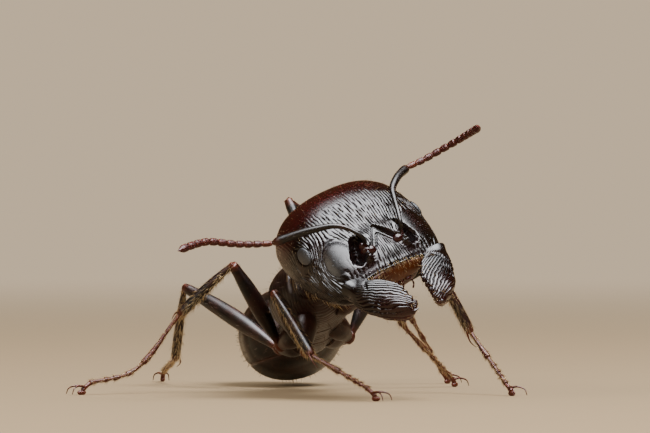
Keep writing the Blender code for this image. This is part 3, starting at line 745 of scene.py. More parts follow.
class ANT_OT_head(Operator):
    """Head capsule with feeler pits, frontal lobes, clypeus and fine ridges"""
    bl_idname = "ant.head"
    bl_label = "Head"

    def execute(self, context):
        grid, values = head_surface()
        finish = finishes()
        Form().add(placed(HEAD_POSE, grid), **values).build(
            "head_skin", finish["head"], "head_shell", "head")
        bulbs = Form()
        for sign in SIDES.values():
            spot = SOCKET * np.array((sign, 1, 1))
            lean = sign * 0.5
            axes = np.array([[cos(lean), sin(lean), 0], [-sin(lean), cos(lean), 0], [0, 0, 1]])
            bulbs.add(placed(HEAD_POSE, ball(spot, (0.21, 0.155, 0.15), axes, 36, 48)),
                      warm=0.55)
            bulbs.add(placed(HEAD_POSE, ball(spot + (sign * 0.10, 0.10, 0.09),
                                             (0.10, 0.09, 0.12), axes, 30, 40)), warm=0.6)
        bulbs.build("feeler_sockets", finish["socket"], "head_shell")
        return {"FINISHED"}


class ANT_OT_eyes(Operator):
    """Compound eyes"""
    bl_idname = "ant.eyes"
    bl_label = "Eyes"

    def execute(self, context):
        finish = finishes()["eye"]
        for side, sign in SIDES.items():
            tilt = -sign * radians(EYE_TILT)
            axes = np.array([[cos(tilt), 0, -sin(tilt)], [0, 1, 0], [sin(tilt), 0, cos(tilt)]])
            x, y, z = EYE_CENTRE
            size = np.array(EYE_SIZE) * (0.50, 1.16, 1.16)
            dome = ball((sign * (x - EYE_INSET), y, z), size, axes, 44, 64)
            Form().add(placed(HEAD_POSE, dome)).build("eye_dome_" + side, finish, "eye_shell",
                                                      "eye_" + side)
        return {"FINISHED"}


def jaw_surface(side):
    """One jaw: rings thick at the outer edge and thin at the biting edge.

    Across a ring runs middle + half cos, and through it thickness sin (0.85 + 0.35 cos);
    both are tilted so that the outer edge lies lower. Ridges fan out over the back by the
    angle between the way round the ring and the way to the tip; each is flat on top, higher
    on one side, with a sharp groove beside it: 1 - (1 - |sin|)^2. The biting edge is drawn
    out into teeth by a saw-tooth, and a small dent marks the joint's end.
    """
    sizes, sign = bpy.context.scene.ant_head, SIDES[side]
    along = np.linspace(JAW[0][0], JAW[-1][0], JAW_RINGS)
    shape = blend(JAW[::-1], along)
    angle = spread(JAW_SIDES + 1, 0, 2 * pi, (pi / 2, 0.9, 1.0))[:-1]
    inner, outer, thick = (shape[:, k:k + 1] for k in range(3))
    middle, half = (inner + outer) / 2, (outer - inner) / 2
    y = along[:, None]
    saw = np.mod((y + 2.22) / -0.205, 1.0)
    tooth = sizes.tooth * rise(-2.20, -2.40, y) * (0.75 + 0.5 * rise(-2.6, -3.2, y)) * (
        1 - saw) ** 0.8 * rise(0, 0.22, saw)
    edge = np.clip(-np.cos(angle), 0, 1) ** 12
    across = middle + half * np.cos(angle) - tooth * edge - 1
    through = thick * np.sin(angle) * (0.85 + 0.35 * np.cos(angle))
    tilt, (height, slope) = radians(JAW_TILT), JAW_HEIGHT
    grid = np.stack([1 + across * np.cos(tilt) + through * np.sin(tilt), y + 0 * across,
                     height + slope * (y + 1.75) + through * np.cos(tilt)
                     - across * np.sin(tilt)], axis=2)
    arc = np.cumsum(np.linalg.norm(np.roll(grid, -1, axis=1) - grid, axis=2), axis=1)
    arc = np.where(angle < pi, arc, arc - arc[:, -1:])
    fan = np.arctan2(arc, -1.10 - y) * 1.70 / sizes.jaw_spacing
    fan += 0.9 * unevenness(grid, 0.8, 4) + 0.3 * unevenness(grid, 0.25, 9)
    carved = rise(-1.78, -2.12, y + 0.22 * np.cos(angle)) * rise(1.0, 0.8, edge)
    carved = np.maximum(carved, 0.6 * rise(0.6, 0.1, np.sin(angle)) * rise(-1.75, -2.0, y))
    skew = 1 + 0.25 * (np.mod(fan, 1.0) - 0.5)
    ridge = (1 - (1 - np.abs(np.sin(pi * fan))) ** 2) * skew * carved * rise(-3.28, -3.10, y)
    dent = np.hypot((y + 1.96) / 0.20, (across + 0.06 + 0.2 * (y + 1.96)) / 0.055)
    dent += 9 * (np.sin(angle) < 0)
    grid = raised(grid, sizes.jaw_depth * ridge - 0.035 * (1 - rise(0.4, 1.1, dent)))
    x, joint_y, z = JAW_JOINT
    joint = np.array((sign * x, joint_y, z))
    grid = placed((joint, *JAW_TURNS[side]), (grid - JAW_JOINT) * (sign, 1, 1))
    warm = 0.04 + 0.5 * rise(0.3, -0.5, np.sin(angle)) + 0.35 * rise(-2.2, -3.0, y)
    return grid, {"phase": fan * 3, "lines": 0.4 * carved, "warm": warm}


class ANT_OT_jaws(Operator):
    """Open jaws with ridges and teeth"""
    bl_idname = "ant.jaws"
    bl_label = "Jaws"

    def execute(self, context):
        finish = finishes()["jaw"]
        for side in SIDES:
            grid, values = jaw_surface(side)
            Form().add(placed(HEAD_POSE, grid), **values).build(
                "jaw_" + side, finish, "jaw_shell", "mandible_" + side)
        return {"FINISHED"}


def mouth_surfaces():
    """Upper lip, maxillae, lower lip, palps and tongue, each with rings and values."""
    lip = ball((0, -1.68, 0.20), (0.90, 0.11, 0.27), rows=90, sides=60)
    found = [(lip, {"warm": 0.2 + 0.8 * rise(0.1, -0.7, lip[..., 0]), "lines": 1.0,
                    "phase": lip[..., 0] / 0.045, "along": lip[..., 2] * 3.0})]
    for sign in (-1, 1):
        for centre, size, lean in (((0.30, -1.62, -0.04), (0.16, 0.16, 0.08), 0.2),
                                   ((0.13, -1.64, -0.06), (0.085, 0.12, 0.055), 0.3)):
            x, y, z = centre
            tilt = np.array([[1, 0, 0], [0, cos(lean), sin(lean)], [0, -sin(lean), cos(lean)]])
            found.append((ball((sign * x, y, z), size, tilt, 24, 32), {"warm": 0.9}))
        for path, joints in (
                (((0.34, -1.64, -0.06), (0.40, -1.74, -0.12), (0.41, -1.82, -0.22),
                  (0.36, -1.86, -0.32)), 4),
                (((0.12, -1.66, -0.08), (0.15, -1.74, -0.14), (0.13, -1.78, -0.24)), 3)):
            spots = smooth_path(path, joints * 14 + 1) * (sign, 1, 1)
            t = np.linspace(0, joints, len(spots)) % 1.0
            found.append((limb(spots, 0.014 + 0.010 * np.sin(pi * t) ** 0.5, 14),
                          {"warm": 0.8}))
    for centre, size in (((0, -1.60, -0.10), (0.17, 0.16, 0.10)),
                         ((0, -1.46, -0.10), (0.80, 0.22, 0.34))):
        found.append((ball(centre, size, rows=24, sides=32), {"warm": 1.0}))
    return [(placed(HEAD_POSE, grid), values) for grid, values in found]


class ANT_OT_mouth(Operator):
    """Upper lip, maxillae, lower lip and palps between the jaws"""
    bl_idname = "ant.mouth"
    bl_label = "Mouthparts"

    def execute(self, context):
        form = Form()
        for grid, values in mouth_surfaces():
            form.add(grid, **values)
        form.build("mouth", finishes()["amber"], "amber_mouth", "mouthparts")
        return {"FINISHED"}


def feeler_surfaces(side):
    """Scape and eleven beads of one feeler, each with its reddish share along it."""
    sizes = bpy.context.scene.ant_head
    path = smooth_path(placed(HEAD_POSE, SCAPES[side]), 120, -0.05, 0.02)
    t = np.linspace(0, 1, 120)
    radii = sizes.scape * (0.50 + 0.46 * rise(0.15, 0.85, t) + 0.25 * bell(t, 0.03)
                           + 0.10 * bell(t - 0.93, 0.06) - 0.45 * bell(t - 1.0, 0.025))
    found = [(limb(path, radii, 36), 0.75 * bell(t, 0.05) + 0.55 * rise(0.90, 1.0, t))]
    path = smooth_path(placed(HEAD_POSE, FLAGELLA[side]), 441)
    ends, last = np.cumsum([0, *BEAD_LENGTHS]), len(BEAD_LENGTHS) - 1
    for k in range(len(BEAD_LENGTHS)):
        near, far = int(ends[k] / ends[-1] * 440), int(ends[k + 1] / ends[-1] * 440) + 1
        t = np.linspace(0, 1, far - near)
        wide = sizes.bead * (0.86 if k == 0 else 0.92 + 0.018 * k)
        shape = 0.70 + 0.30 * rise(0, 0.45, t) - 0.26 * rise(0.86, 1.0, t)
        if k == last:
            shape = 0.70 + 0.30 * rise(0, 0.25, t) - 0.90 * rise(0.45, 1.04, t)
        warm = 0.50 * bell(t, 0.15) + 0.4 * bell(t - 1, 0.10) + (0.7 if k == 0 else 0.1)
        found.append((limb(path[near:far], wide * shape, 30), warm))
    return found


class ANT_OT_feelers(Operator):
    """Scapes, and flagella of eleven beads"""
    bl_idname = "ant.feelers"
    bl_label = "Feelers"

    def execute(self, context):
        finish = finishes()
        for side in SIDES:
            scape, *beads = feeler_surfaces(side)
            Form().add(scape[0], warm=scape[1][:, None]).build(
                "scape_skin_" + side, finish["scape"], "body_shell", "scape_" + side)
            form = Form()
            for grid, warm in beads:
                form.add(grid, warm=warm[:, None])
            form.build("flagellum_beads_" + side, finish["bead"], "flagellum_shell",
                       "flagellum_" + side)
        return {"FINISHED"}


# ---------------------------------------------------------------- trunk, waist and gaster

def trunk_plates():
    """The trunk's plates: CAD lofts with seams, a lip over the next plate, breathing holes.

    Each comes as name, rings and values; wrinkles follow level lines of distance from the
    neck on the first plate, slanting ones on the second and crosswise ones on the third.
    """
    lip = bpy.context.scene.ant_body.plate_lip
    angle = spread(PLATE_SIDES + 1, -pi / 2, 1.5 * pi)[:-1]
    bounds = (TRUNK[0][0], *TRUNK_CUTS, TRUNK[-1][0])
    for k, name in enumerate(("pronotum", "mesothorax", "propodeum")):
        start, end = bounds[k] - 0.10 * (k > 0), bounds[k + 1]
        along = np.linspace(start, end, TRUNK_RINGS[k])
        plain = loft(TRUNK, along, angle, TRUNK_POWER)
        x, y, z = plain.transpose(2, 0, 1)
        height = 0.02 * unevenness(plain, 0.5, 5 + k)
        height -= lip * 1.6 * (k > 0) * rise(start + 0.13, start + 0.05, y)
        height -= lip * rise(end - 0.05, end, y) * (k < 2)
        if k == 0:
            height += 0.05 * bell(y + 1.22, 0.05) - 0.05 * bell(y + 1.08, 0.06)
            phase = (np.hypot(x, 0.75 * (y + 1.3)) + 0.15 * z) / 0.085
            lines = 0.35 + 0.5 * rise(0.3, -0.3, z)
        elif k == 1:
            seam = np.abs(z + 0.12 - 0.35 * (y - 1.1))
            height -= 0.045 * bell(seam, 0.035) * rise(0.35, 0.6, np.abs(x))
            phase, lines = (z + 0.5 * y) / 0.075, 0.85
        else:
            seam, _ = to_segment(y, z, (1.7, -0.30), (2.8, -0.05))
            height -= 0.040 * bell(seam, 0.035) * rise(0.3, 0.6, np.abs(x))
            phase, lines = (y + 0.15 * np.abs(x)) / 0.080, 1.0
        hole = np.hypot(y - (0, 1.42, 2.28)[k], z - (9, 0.30, 0.14)[k])
        hole += 9 * (np.abs(x) < 0.3)
        height += 0.030 * bell(hole - 0.075, 0.022) - 0.05 * (1 - rise(0.02, 0.06, hole))
        warm = 0.12 + 0.35 * bell(y - end, 0.1) + 0.25 * rise(-0.2, -0.7, z)
        yield name, placed(TRUNK_POSE, raised(plain, height)), {
            "phase": phase, "along": (x + (y, y, z)[k]) * 3.0, "lines": lines, "warm": warm}


def build_plates(plates, finish):
    """Make one piece of each plate, given as name, rings and values."""
    for name, grid, values in plates:
        Form().add(grid, **values).build(name + "_skin", finish, "body_shell", name)


class ANT_OT_trunk(Operator):
    """Neck and the three plates of the trunk, with wrinkles, seams and breathing holes"""
    bl_idname = "ant.trunk"
    bl_label = "Trunk"

    def execute(self, context):
        finish = finishes()["trunk"]
        build_plates(trunk_plates(), finish)
        path = smooth_path([placed(HEAD_POSE, (0, 1.15, -0.40)),
                            placed(TRUNK_POSE, (0, -1.15, 0.05))], 60)
        t = np.linspace(0, 1, 60)
        radii = 0.40 - 0.09 * np.sin(pi * t) + 0.018 * np.sin(2 * pi * 5 * t)
        Form().add(limb(path, radii, 40), warm=0.25).build("neck_skin", finish, "body_shell",
                                                           "neck")
        return {"FINISHED"}


def waist_knots():
    """Petiole and postpetiole: CAD lofts, slightly uneven, as name, rings and values."""
    angle = spread(WAIST_SIDES + 1, -pi / 2, 1.5 * pi)[:-1]
    for name, stations, posture in (("petiole", PETIOLE, PETIOLE_POSE),
                                    ("postpetiole", POSTPETIOLE, POSTPETIOLE_POSE)):
        along = np.linspace(stations[0][0], stations[-1][0], WAIST_RINGS)
        plain = loft(stations, along, angle, WAIST_POWER)
        _, y, z = plain.transpose(2, 0, 1)
        height = 0.015 * unevenness(plain, 0.35, 3) - 0.02 * bell(y, 0.05) * rise(0, -0.2, z)
        yield name, placed(posture, raised(plain, height)), {
            "phase": y / 0.07, "lines": 0.7 * rise(-0.2, 0.1, z),
            "warm": 0.2 + 0.4 * rise(0.15, 0.45, np.abs(y))}


class ANT_OT_waist(Operator):
    """Petiole and postpetiole"""
    bl_idname = "ant.waist"
    bl_label = "Waist"

    def execute(self, context):
        build_plates(waist_knots(), finishes()["trunk"])
        return {"FINISHED"}


def gaster_plates():
    """Four ring plates: CAD lofts, each starting lower under the edge of the one before."""
    lip = bpy.context.scene.ant_body.plate_lip
    angle = spread(PLATE_SIDES + 1, -pi / 2, 1.5 * pi)[:-1]
    bounds = (GASTER[0][0], *GASTER_CUTS, GASTER[-1][0])
    for k in range(4):
        start, end = bounds[k] - 0.12 * (k > 0), bounds[k + 1]
        along = np.linspace(start, end, GASTER_RINGS[k])
        plain = loft(GASTER, along, angle, GASTER_POWER)
        x, y, z = plain.transpose(2, 0, 1)
        height = 0.012 * unevenness(plain, 0.9, 11 + k)
        height -= 1.5 * lip * (k > 0) * rise(start + 0.17, start + 0.08, y)
        height -= 0.8 * lip * rise(end - 0.035, end, y) * (k < 3)
        edge = z + 0.42 + 0.10 * np.cos(angle) ** 2
        height -= 0.030 * bell(edge, 0.028) * (np.abs(x) > 0.2)
        warm = 0.05 + 0.85 * bell(y - end, 0.05) + 0.25 * bell(edge, 0.05)
        yield "gaster_plate_%d" % (k + 1), placed(GASTER_POSE, raised(plain, height)), {
            "warm": warm}


class ANT_OT_gaster(Operator):
    """Four plates of the gaster, each tucked under the one before"""
    bl_idname = "ant.gaster"
    bl_label = "Gaster"

    def execute(self, context):
        build_plates(gaster_plates(), finishes()["gaster"])
        return {"FINISHED"}


# ---------------------------------------------------------------- legs

def bowed(start, end, count, before=0.0, after=0.0, bow=0.0):
    """Places from one joint to the next, short of both, arched upwards by a parabola."""
    start, end = np.array(start, float), np.array(end, float)
    along = (end - start) / np.linalg.norm(end - start)
    t = np.linspace(0, 1, count)[:, None]
    first, last = start + before * along, end - after * along
    return first + t * (last - first) + bow * 4 * t * (1 - t) * np.array([0, 0, 1.0])


def smoothed(t, places, radii, width):
    """Radii between given places, straight from each to the next, then averaged over a width."""
    profile = np.pad(np.interp(t, places, radii), width // 2, mode="edge")
    return np.convolve(profile, np.ones(width) / width, mode="valid")


def long_joints(forms, hip, trochanter, knee, ankle):
    """Coxa, femur with its trochanter ring, and tibia: round limbs with profiles of their own."""
    body = bpy.context.scene.ant_body
    t = np.linspace(0, 1, 50)
    coxa = 0.27 + 0.05 * bell(t - 0.3, 0.25) - 0.12 * rise(0.5, 1.0, t) - 0.06 * rise(0.9, 1, t)
    forms["coxa"].add(limb(bowed(hip, trochanter, 50, 0.0, 0.03), coxa, 40),
                      warm=(0.15 + 0.6 * rise(0.85, 1, t))[:, None])
    beyond = np.linalg.norm(knee - trochanter) - 0.20
    ring = 0.145 * np.sin(pi * np.linspace(0.12, 0.9, 24)) ** 0.6
    forms["femur"].add(limb(bowed(trochanter, knee, 24, -0.14, beyond), ring, 30), warm=0.7)
    t = np.linspace(0, 1, 110)
    femur = smoothed(t, (0, 0.05, 0.14, 0.30, 0.45, 0.70, 0.88, 0.94, 0.975, 1),
                     (0.40, 0.46, 0.66, 0.93, 1.0, 0.86, 0.64, 0.60, 0.64, 0.40), 9)
    warm = 0.6 * bell(t, 0.06) + 0.65 * rise(0.93, 1, t) + 0.05
    path = bowed(trochanter, knee, 110, 0.14, 0.0, 0.06)
    forms["femur"].add(limb(path, body.femur * femur, 40, 0.9), warm=warm[:, None])
    tibia = smoothed(t, (0, 0.03, 0.07, 0.12, 0.35, 0.75, 0.95, 0.985, 1),
                     (0.55, 0.62, 0.50, 0.62, 0.86, 1.0, 0.98, 0.86, 0.60), 7)
    warm = 0.75 * bell(t, 0.07) + 0.7 * rise(0.90, 1, t) + 0.08
    path = bowed(knee, ankle, 110, -0.02, 0.0, 0.03)
    forms["tibia"].add(limb(path, body.tibia * tibia, 36, 0.92), warm=warm[:, None])


def spur_surface(knee, ankle, level, size):
    """Spur at the tibia's end: a curved spike beside the tarsus."""
    down = (ankle - knee) / np.linalg.norm(ankle - knee)
    aside = np.cross(down, level)
    aside /= np.linalg.norm(aside) + 1e-9
    path = smooth_path([ankle - 0.10 * down + 0.09 * aside,
                        ankle + size * 0.5 * down + 0.15 * aside,
                        ankle + size * down + 0.07 * aside], 16)
    return limb(path, np.linspace(0.030, 0.006, 16), 12)


def foot_joints(forms, toe, end, level):
    """Pad on the floor, the stalk that carries it and two hooked claws, in the way of the toe."""
    across, reach = np.array([-level[1], level[0], 0]), bpy.context.scene.ant_body.claw
    axes = np.array([level, across, (0, 0, 1.0)])
    pad = ball(toe + (0, 0, 0.065), (0.12, 0.065, 0.07), axes, 24, 30)
    pad[..., 2] = np.maximum(pad[..., 2], 0.0)
    forms["foot"].add(pad, warm=0.9)
    stalk = smooth_path([end - 0.02 * level, toe - 0.10 * level + (0, 0, 0.20),
                         toe - 0.02 * level + (0, 0, 0.12)], 20)
    forms["foot"].add(limb(stalk, np.linspace(0.048, 0.062, 20), 20), warm=0.8)
    for sign in SIDES.values():
        claw = smooth_path([toe - 0.12 * level + sign * 0.02 * across + (0, 0, 0.20),
                            toe + 0.35 * reach * level + sign * 0.11 * across + (0, 0, 0.235),
                            toe + 0.85 * reach * level + sign * 0.20 * across + (0, 0, 0.16),
                            toe + reach * level + sign * 0.22 * across + (0, 0, 0.025)], 30)
        forms["foot"].add(limb(claw, 0.034 * np.linspace(1, 0.22, 30) ** 0.9, 16),
                          warm=np.linspace(0.8, 0.1, 30)[:, None])


def leg_forms(name, joints):
    """The five pieces of one leg as forms: coxa, femur, tibia, tarsus and foot.

    The tarsus has five joints, each flaring towards its end, on one smooth path from the
    ankle to just behind the toe.
    """
    hip = placed(TRUNK_POSE, joints[0])
    joints = [np.array(joint, float) for joint in joints[1:]]
    trochanter, knee, ankle, toe = joints[0], joints[1], joints[2], joints[-1]
    forms = {key: Form() for key in LEG_LOOKS}
    long_joints(forms, hip, trochanter, knee, ankle)
    heel = joints[-2] if len(joints) > 4 else ankle
    level = (toe - heel) * (1, 1, 0)
    level /= np.linalg.norm(level)
    spur = 0.42 if name.startswith("front") else 0.26
    forms["tibia"].add(spur_surface(knee, ankle, level, spur), warm=1.0)
    end = toe - 0.22 * level + (0, 0, FOOT_HEIGHT)
    path = smooth_path([ankle, *joints[3:-1], end], 400, 0.03)
    for near, far in zip(TARSUS_ENDS, TARSUS_ENDS[1:]):
        piece = path[int(near * 399):int(far * 399) + 1]
        t = np.linspace(0, 1, len(piece))
        flare = 0.62 + 0.10 * bell(t, 0.1) + 0.38 * rise(0.35, 0.93, t) - 0.45 * rise(0.95, 1, t)
        thick = bpy.context.scene.ant_body.tarsus * (1.12 if near == 0 else 1.0)
        forms["tarsus"].add(limb(piece, thick * flare, 22),
                            warm=(0.45 + 0.4 * bell(t, 0.15))[:, None])
    foot_joints(forms, toe, end, level)
    return forms


class ANT_OT_legs(Operator):
    """Six legs with their joints, spurs, tarsi and claws"""
    bl_idname = "ant.legs"
    bl_label = "Legs"

    def execute(self, context):
        finish = finishes()
        for name, joints in LEGS.items():
            for key, form in leg_forms(name, joints).items():
                material, slot = LEG_LOOKS[key]
                piece = "%s_%s" % (key, name)
                form.build(piece + "_skin", finish[material], slot, piece)
        return {"FINISHED"}


# ---------------------------------------------------------------- hairs

class Coat:
    """Gathers hairs into one mesh: thin three-sided spikes, mapped by where they stand."""

    def __init__(self, seed):
        self.chance = np.random.default_rng(seed)
        self.points, self.places, self.skins = [], [], []

    def sow(self, grid, bristle, weight=1.0, way=None, count=None):
        """Hairs of a named bristle over a surface of rings.

        Each stands at a random place of a random cell, picked by the cell's area times the
        weight. It starts along the normal plus lean times the way down the rows (or a way
        that is given), and bends further by bend times the square of the share along it.
        """
        usual, size, lean, bend, thick = BRISTLES[bristle]
        count = usual if count is None else count
        rows, cols = grid.shape[:2]
        after, beside = grid[1:], np.roll(grid, -1, axis=1)
        area = np.linalg.norm(np.cross(after - grid[:-1], beside[:-1] - grid[:-1]), axis=2)
        area *= np.broadcast_to(weight, (rows, cols))[:-1]
        pick = self.chance.choice(area.size, count, p=area.ravel() / area.sum())
        i, j = np.divmod(pick, cols)
        r, q = self.chance.random((2, count, 1))
        corner = (grid[i, j], beside[i, j], grid[i + 1, j], beside[i + 1, j])
        root = ((1 - r) * ((1 - q) * corner[0] + q * corner[1])
                + r * ((1 - q) * corner[2] + q * corner[3]))
        normal = outward(grid)[i, j]
        onward = corner[2] - corner[0] if way is None else np.broadcast_to(way, root.shape)
        onward = onward / (np.linalg.norm(onward, axis=1, keepdims=True) + 1e-12)
        start = normal + lean * onward + self.chance.normal(size=root.shape) * 0.22
        start /= np.linalg.norm(start, axis=1, keepdims=True)
        side = np.cross(start, normal + 0.37 * onward[:, [1, 2, 0]])
        side /= np.linalg.norm(side, axis=1, keepdims=True)
        ring = np.stack([side, np.cross(start, side)], axis=1)
        angle = 2 * pi * np.arange(3) / 3
        ring = np.cos(angle)[:, None] * ring[:, :1] + np.sin(angle)[:, None] * ring[:, 1:]
        reach = size * (0.65 + 0.7 * self.chance.random((count, 1, 1, 1)))
        share = np.array([0.0, 0.35, 0.70, 1.0])[:, None, None]
        centre = (root - 0.012 * normal)[:, None, None] + reach * (
            share * start[:, None, None] + bend * share ** 2 * onward[:, None, None])
        width = thick * np.array([1.0, 0.85, 0.55])[:, None, None]
        body = centre[:, :3] + width * ring[:, None]
        self.points.append(np.concatenate([body.reshape(count, 9, 3), centre[:, 3]], axis=1))
        self.places.append(np.concatenate([(j + q[:, 0])[:, None] / cols,
                                           (i + r[:, 0])[:, None] / (rows - 1)], axis=1))
        self.skins.append(count)

    def build(self, name, material, slot):
        """Put all hairs into a mesh; the map gives each skin a square tile of its own."""
        hairs = np.concatenate(self.points)
        total = len(hairs)
        ring = np.array([[0, 1, 4, 3], [1, 2, 5, 4], [2, 0, 3, 5], [3, 4, 7, 6],
                         [4, 5, 8, 7], [5, 3, 6, 8]])
        tips = np.array([[6, 7, 9], [7, 8, 9], [8, 6, 9], [0, 2, 1]])
        first = 10 * np.arange(total)[:, None, None]
        quads, fans = (first + ring).reshape(-1, 4), (first + tips).reshape(-1, 3)
        points = (hairs.reshape(-1, 3) - STANCE_CENTRE) * MM
        mesh = mesh_from(name, points, quads, fans)
        across = int(np.ceil(np.sqrt(len(self.skins))))
        skin = np.repeat(np.arange(len(self.skins)), self.skins)
        tile = np.stack([skin % across, skin // across], axis=1)
        place = (tile + 0.01 + 0.97 * np.concatenate(self.places)) / across
        spot = np.array([(m, k) for k in range(3) for m in range(3)] + [(1, 3)]) * 0.001
        flat = (place[:, None] + spot).reshape(-1, 2)
        corners = np.r_[quads.ravel(), fans.ravel()]
        layer = mesh.uv_layers.new(name="OFBake")
        layer.data.foreach_set("uv", flat[corners].astype(np.float32).ravel())
        return hang(name, mesh, material, slot)


def hair_finish(name, tone):
    """Bristle, darker and lighter in patches."""
    if name in bpy.data.materials:
        return bpy.data.materials[name]
    material, tree, shader = new_material(name)
    place = node(tree, "TexCoord").outputs["Object"]
    mottle = node(tree, "TexNoise", {"Vector": place, "Scale": 2500.0, "Detail": 2.0})
    tree.links.new(mixed(tree, mottle.outputs["Fac"], (*[part * 0.4 for part in tone], 1),
                         (*[min(1.0, part * 1.4) for part in tone], 1)),
                   shader.inputs["Base Color"])
    shader.inputs["Roughness"].default_value = 0.45
    shader.inputs["Specular IOR Level"].default_value = 0.3
    return material


class ANT_OT_hairs(Operator):
    """Bristles of the head, jaws, feelers, trunk, gaster and legs"""
    bl_idname = "ant.hairs"
    bl_label = "Hairs"

    def execute(self, context):
        tint = context.scene.ant_colours
        pale = hair_finish("pale bristle", tuple(tint.hair))
        dark = hair_finish("dark bristle", tuple(tint.dark_hair))
        local, _ = head_surface()
        grid, (x, y, z) = placed(HEAD_POSE, local), local.transpose(2, 0, 1)
        coat = Coat(1)
        coat.sow(grid, "crown",
                 rise(-0.9, 0.3, y) * rise(-0.5, 0.2, z) + 0.05 * rise(-1.6, -1.2, y))
        coat.sow(grid, "long crown", rise(-0.3, 0.5, y) * rise(0.2, 0.7, z))
        coat.sow(grid, "throat", rise(-0.1, -0.5, z) * rise(-1.55, -1.3, y) * rise(1.5, 1.0, y))
        ahead = np.array((0, -0.8, -0.8)) @ turn(*HEAD_POSE[1:]).T
        coat.sow(grid, "front edge",
                 rise(-1.60, -1.66, y) * rise(-1.80, -1.74, y) * rise(0.25, 0.45, z)
                 * rise(1.05, 0.85, np.abs(x)), ahead)
        for side in SIDES:
            grid = placed(HEAD_POSE, jaw_surface(side)[0])
            angle = np.linspace(0, 2 * pi, grid.shape[1])
            coat.sow(grid, "jaw", rise(0.3, -0.6, np.sin(angle)))
            coat.sow(grid, "jaw edge", rise(-0.6, -0.9, np.cos(angle)))
        coat.sow(mouth_surfaces()[0][0], "lip", way=ahead)
        coat.build("head_hairs", pale, "amber_mouth")

        coat = Coat(2)
        for side in SIDES:
            scape, *beads = feeler_surfaces(side)
            coat.sow(scape[0], "scape")
            for grid, _ in beads:
                coat.sow(grid, "bead")
        coat.build("feeler_hairs", dark, "amber_mouth")

        coat = Coat(3)
        for name, grid, _ in (*trunk_plates(), *waist_knots()):
            coat.sow(grid, "waist" if name.endswith("petiole") else "trunk")
        coat.build("trunk_hairs", dark, "amber_mouth")

        coat = Coat(4)
        for count, (_, grid, _) in zip(GASTER_BRISTLES, gaster_plates()):
            coat.sow(grid, "gaster", count=count)
        coat.build("gaster_hairs", dark, "amber_mouth")

        coat, feet = Coat(5), Coat(6)
        for name, joints in LEGS.items():
            forms = leg_forms(name, joints)
            ring, femur = forms["femur"].grids
            coat.sow(forms["coxa"].grids[0], "coxa")
            coat.sow(ring, "femur", count=TROCHANTER_BRISTLES)
            coat.sow(femur, "femur")
            tibia = forms["tibia"].grids[0]
            feet.sow(tibia, "tibia")
            feet.sow(tibia, "long tibia", rise(0.1, -0.7, outward(tibia)[..., 2]) + 0.02)
            for grid in forms["tarsus"].grids:
                feet.sow(grid, "tarsus", count=40 + len(grid))
        coat.build("thigh_hairs", dark, "amber_mouth")
        feet.build("leg_hairs", pale, "amber_mouth")
        return {"FINISHED"}


# ---------------------------------------------------------------- stage

def looking(spot, aim):
    """Placement at a spot in millimetres, facing an aim with the top upwards."""
    back = (spot - aim) / np.linalg.norm(spot - aim)
    right = np.cross((0, 0, 1.0), back)
    right /= np.linalg.norm(right)
    matrix = np.eye(4)
    matrix[:3, :3] = np.stack([right, np.cross(back, right), back], axis=1)
    matrix[:3, 3] = (spot - STANCE_CENTRE) * MM
    return Matrix(matrix.tolist())


def floor_material(pale):
    """Pale floor with slow mottling, which fades out far from the ant."""
    material, tree, shader = new_material("pale floor")
    place = node(tree, "TexCoord").outputs["Object"]
    mottle = node(tree, "TexNoise", {"Vector": place, "Scale": 300.0,
                                     "Detail": 4.0}).outputs["Fac"]
    tree.links.new(mixed(tree, maths(tree, "MULTIPLY", mottle, 0.12), (*pale, 1),
                         (*[channel * 0.8 for channel in pale], 1)),
                   shader.inputs["Base Color"])
    shader.inputs["Roughness"].default_value = 0.8
    shader.inputs["Specular IOR Level"].default_value = 0.0
    away = node(tree, "VectorMath", {0: place}, operation="LENGTH").outputs["Value"]
    solid = stepped(tree, away, *FLOOR_FADE, 1.0, 0.0, interpolation_type="SMOOTHSTEP")
    tree.links.new(solid, shader.inputs["Alpha"])
    return material


def room_world(stage):
    """Even grey room; only reflections see its warm walls and its bright soft ceiling."""
    world = bpy.data.worlds.new("pale room")
    world.use_nodes = True
    tree = world.node_tree
    path = node(tree, "LightPath")
    near = node(tree, "VectorMath", {0: node(tree, "TexCoord").outputs["Generated"],
                                     1: CEILING_WAY}, operation="DOT_PRODUCT")
    patch = stepped(tree, near.outputs["Value"], *CEILING_EDGE, interpolation_type="SMOOTHSTEP")
    ceiling = [channel * stage.ceiling for channel in CEILING_TINT]
    room = mixed(tree, patch, (*ROOM_TINT, 1), (*ceiling, 1))
    seen = mixed(tree, path.outputs["Is Glossy Ray"], (*[stage.world] * 3, 1), room)
    seen = mixed(tree, path.outputs["Is Camera Ray"], seen, (*BACKDROP, 1))
    tree.links.new(seen, tree.nodes["Background"].inputs["Color"])
    return world


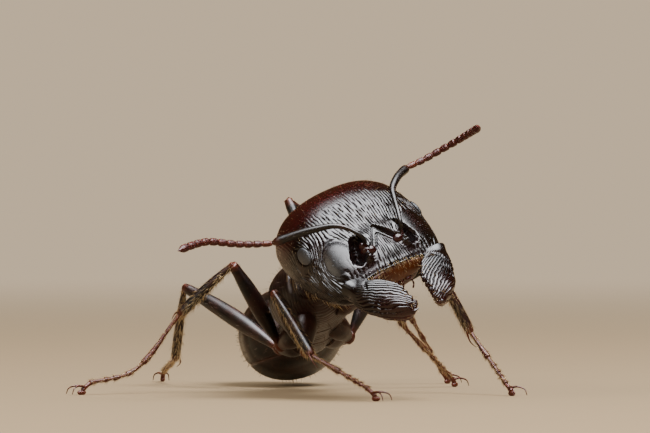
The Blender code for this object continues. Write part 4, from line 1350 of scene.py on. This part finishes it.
class ANT_OT_stage(Operator):
    """Pale floor, soft lights and the camera"""
    bl_idname = "ant.stage"
    bl_label = "Stage"

    def execute(self, context):
        scene, stage = context.scene, context.scene.ant_stage
        mesh = bpy.data.meshes.new("floor")
        corners = [(x * FLOOR_HALF, y * FLOOR_HALF, 0)
                   for x, y in ((-1, -1), (1, -1), (1, 1), (-1, 1))]
        mesh.from_pydata(corners, [], [(0, 1, 2, 3)])
        mesh.materials.append(floor_material(tuple(stage.floor)))
        floor = bpy.data.objects.new("floor", mesh)
        scene.collection.objects.link(floor)
        scene.world = room_world(stage)

        for name, given in LIGHTS.items():
            light = bpy.data.lights.new(name, "AREA")
            light.shape = "DISK"
            light.size = given["size"] * MM
            light.energy = getattr(stage, given["power"])
            light.color = given["tint"]
            lamp = bpy.data.objects.new(name, light)
            scene.collection.objects.link(lamp)
            lamp.matrix_world = looking(np.array(given["spot"], float), np.array(LIGHT_AIM))

        azimuth, elevation = (radians(angle) for angle in VIEW_WAY)
        back = np.array([sin(azimuth) * cos(elevation), -cos(azimuth) * cos(elevation),
                         sin(elevation)])
        lens = bpy.data.cameras.new("camera")
        lens.sensor_width = SENSOR
        lens.lens = SENSOR * VIEW_DISTANCE / VIEW_WIDTH
        lens.clip_start, lens.clip_end = 0.005, 20.0
        camera = bpy.data.objects.new("camera", lens)
        scene.collection.objects.link(camera)
        camera.matrix_world = looking(VIEW_AIM + VIEW_DISTANCE * back, np.array(VIEW_AIM))
        scene.camera = camera
        return {"FINISHED"}


# ---------------------------------------------------------------- the add-on

PIECES = ("stage", "head", "eyes", "jaws", "mouth", "feelers", "trunk", "waist", "gaster",
          "legs", "hairs")
GROUPS = {"ant_head": AntHead, "ant_body": AntBody, "ant_colours": AntColours,
          "ant_stage": AntStage}


class ANT_PT_panel(Panel):
    """Lists the ant's pieces"""
    bl_label = "Harvester ant"
    bl_space_type = "VIEW_3D"
    bl_region_type = "UI"
    bl_category = "Ant"

    def draw(self, context):
        for piece in PIECES:
            self.layout.operator("ant." + piece)
        for key, kind in GROUPS.items():
            box = self.layout.box()
            box.label(text=kind.__doc__)
            for name in kind.__annotations__:
                box.prop(getattr(context.scene, key), name)


CLASSES = (*GROUPS.values(), ANT_OT_head, ANT_OT_eyes, ANT_OT_jaws, ANT_OT_mouth,
           ANT_OT_feelers, ANT_OT_trunk, ANT_OT_waist, ANT_OT_gaster, ANT_OT_legs,
           ANT_OT_hairs, ANT_OT_stage, ANT_PT_panel)


def register():
    """Make the classes and the scene's property groups known."""
    for kind in CLASSES:
        bpy.utils.register_class(kind)
    for key, kind in GROUPS.items():
        setattr(bpy.types.Scene, key, PointerProperty(type=kind))


def unregister():
    """Take them out again."""
    for key in GROUPS:
        delattr(bpy.types.Scene, key)
    for kind in reversed(CLASSES):
        bpy.utils.unregister_class(kind)


def main():
    """Register, and make every piece in order."""
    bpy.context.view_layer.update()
    register()
    for piece in PIECES:
        getattr(bpy.ops.ant, piece)()


if __name__ == "__main__":
    main()
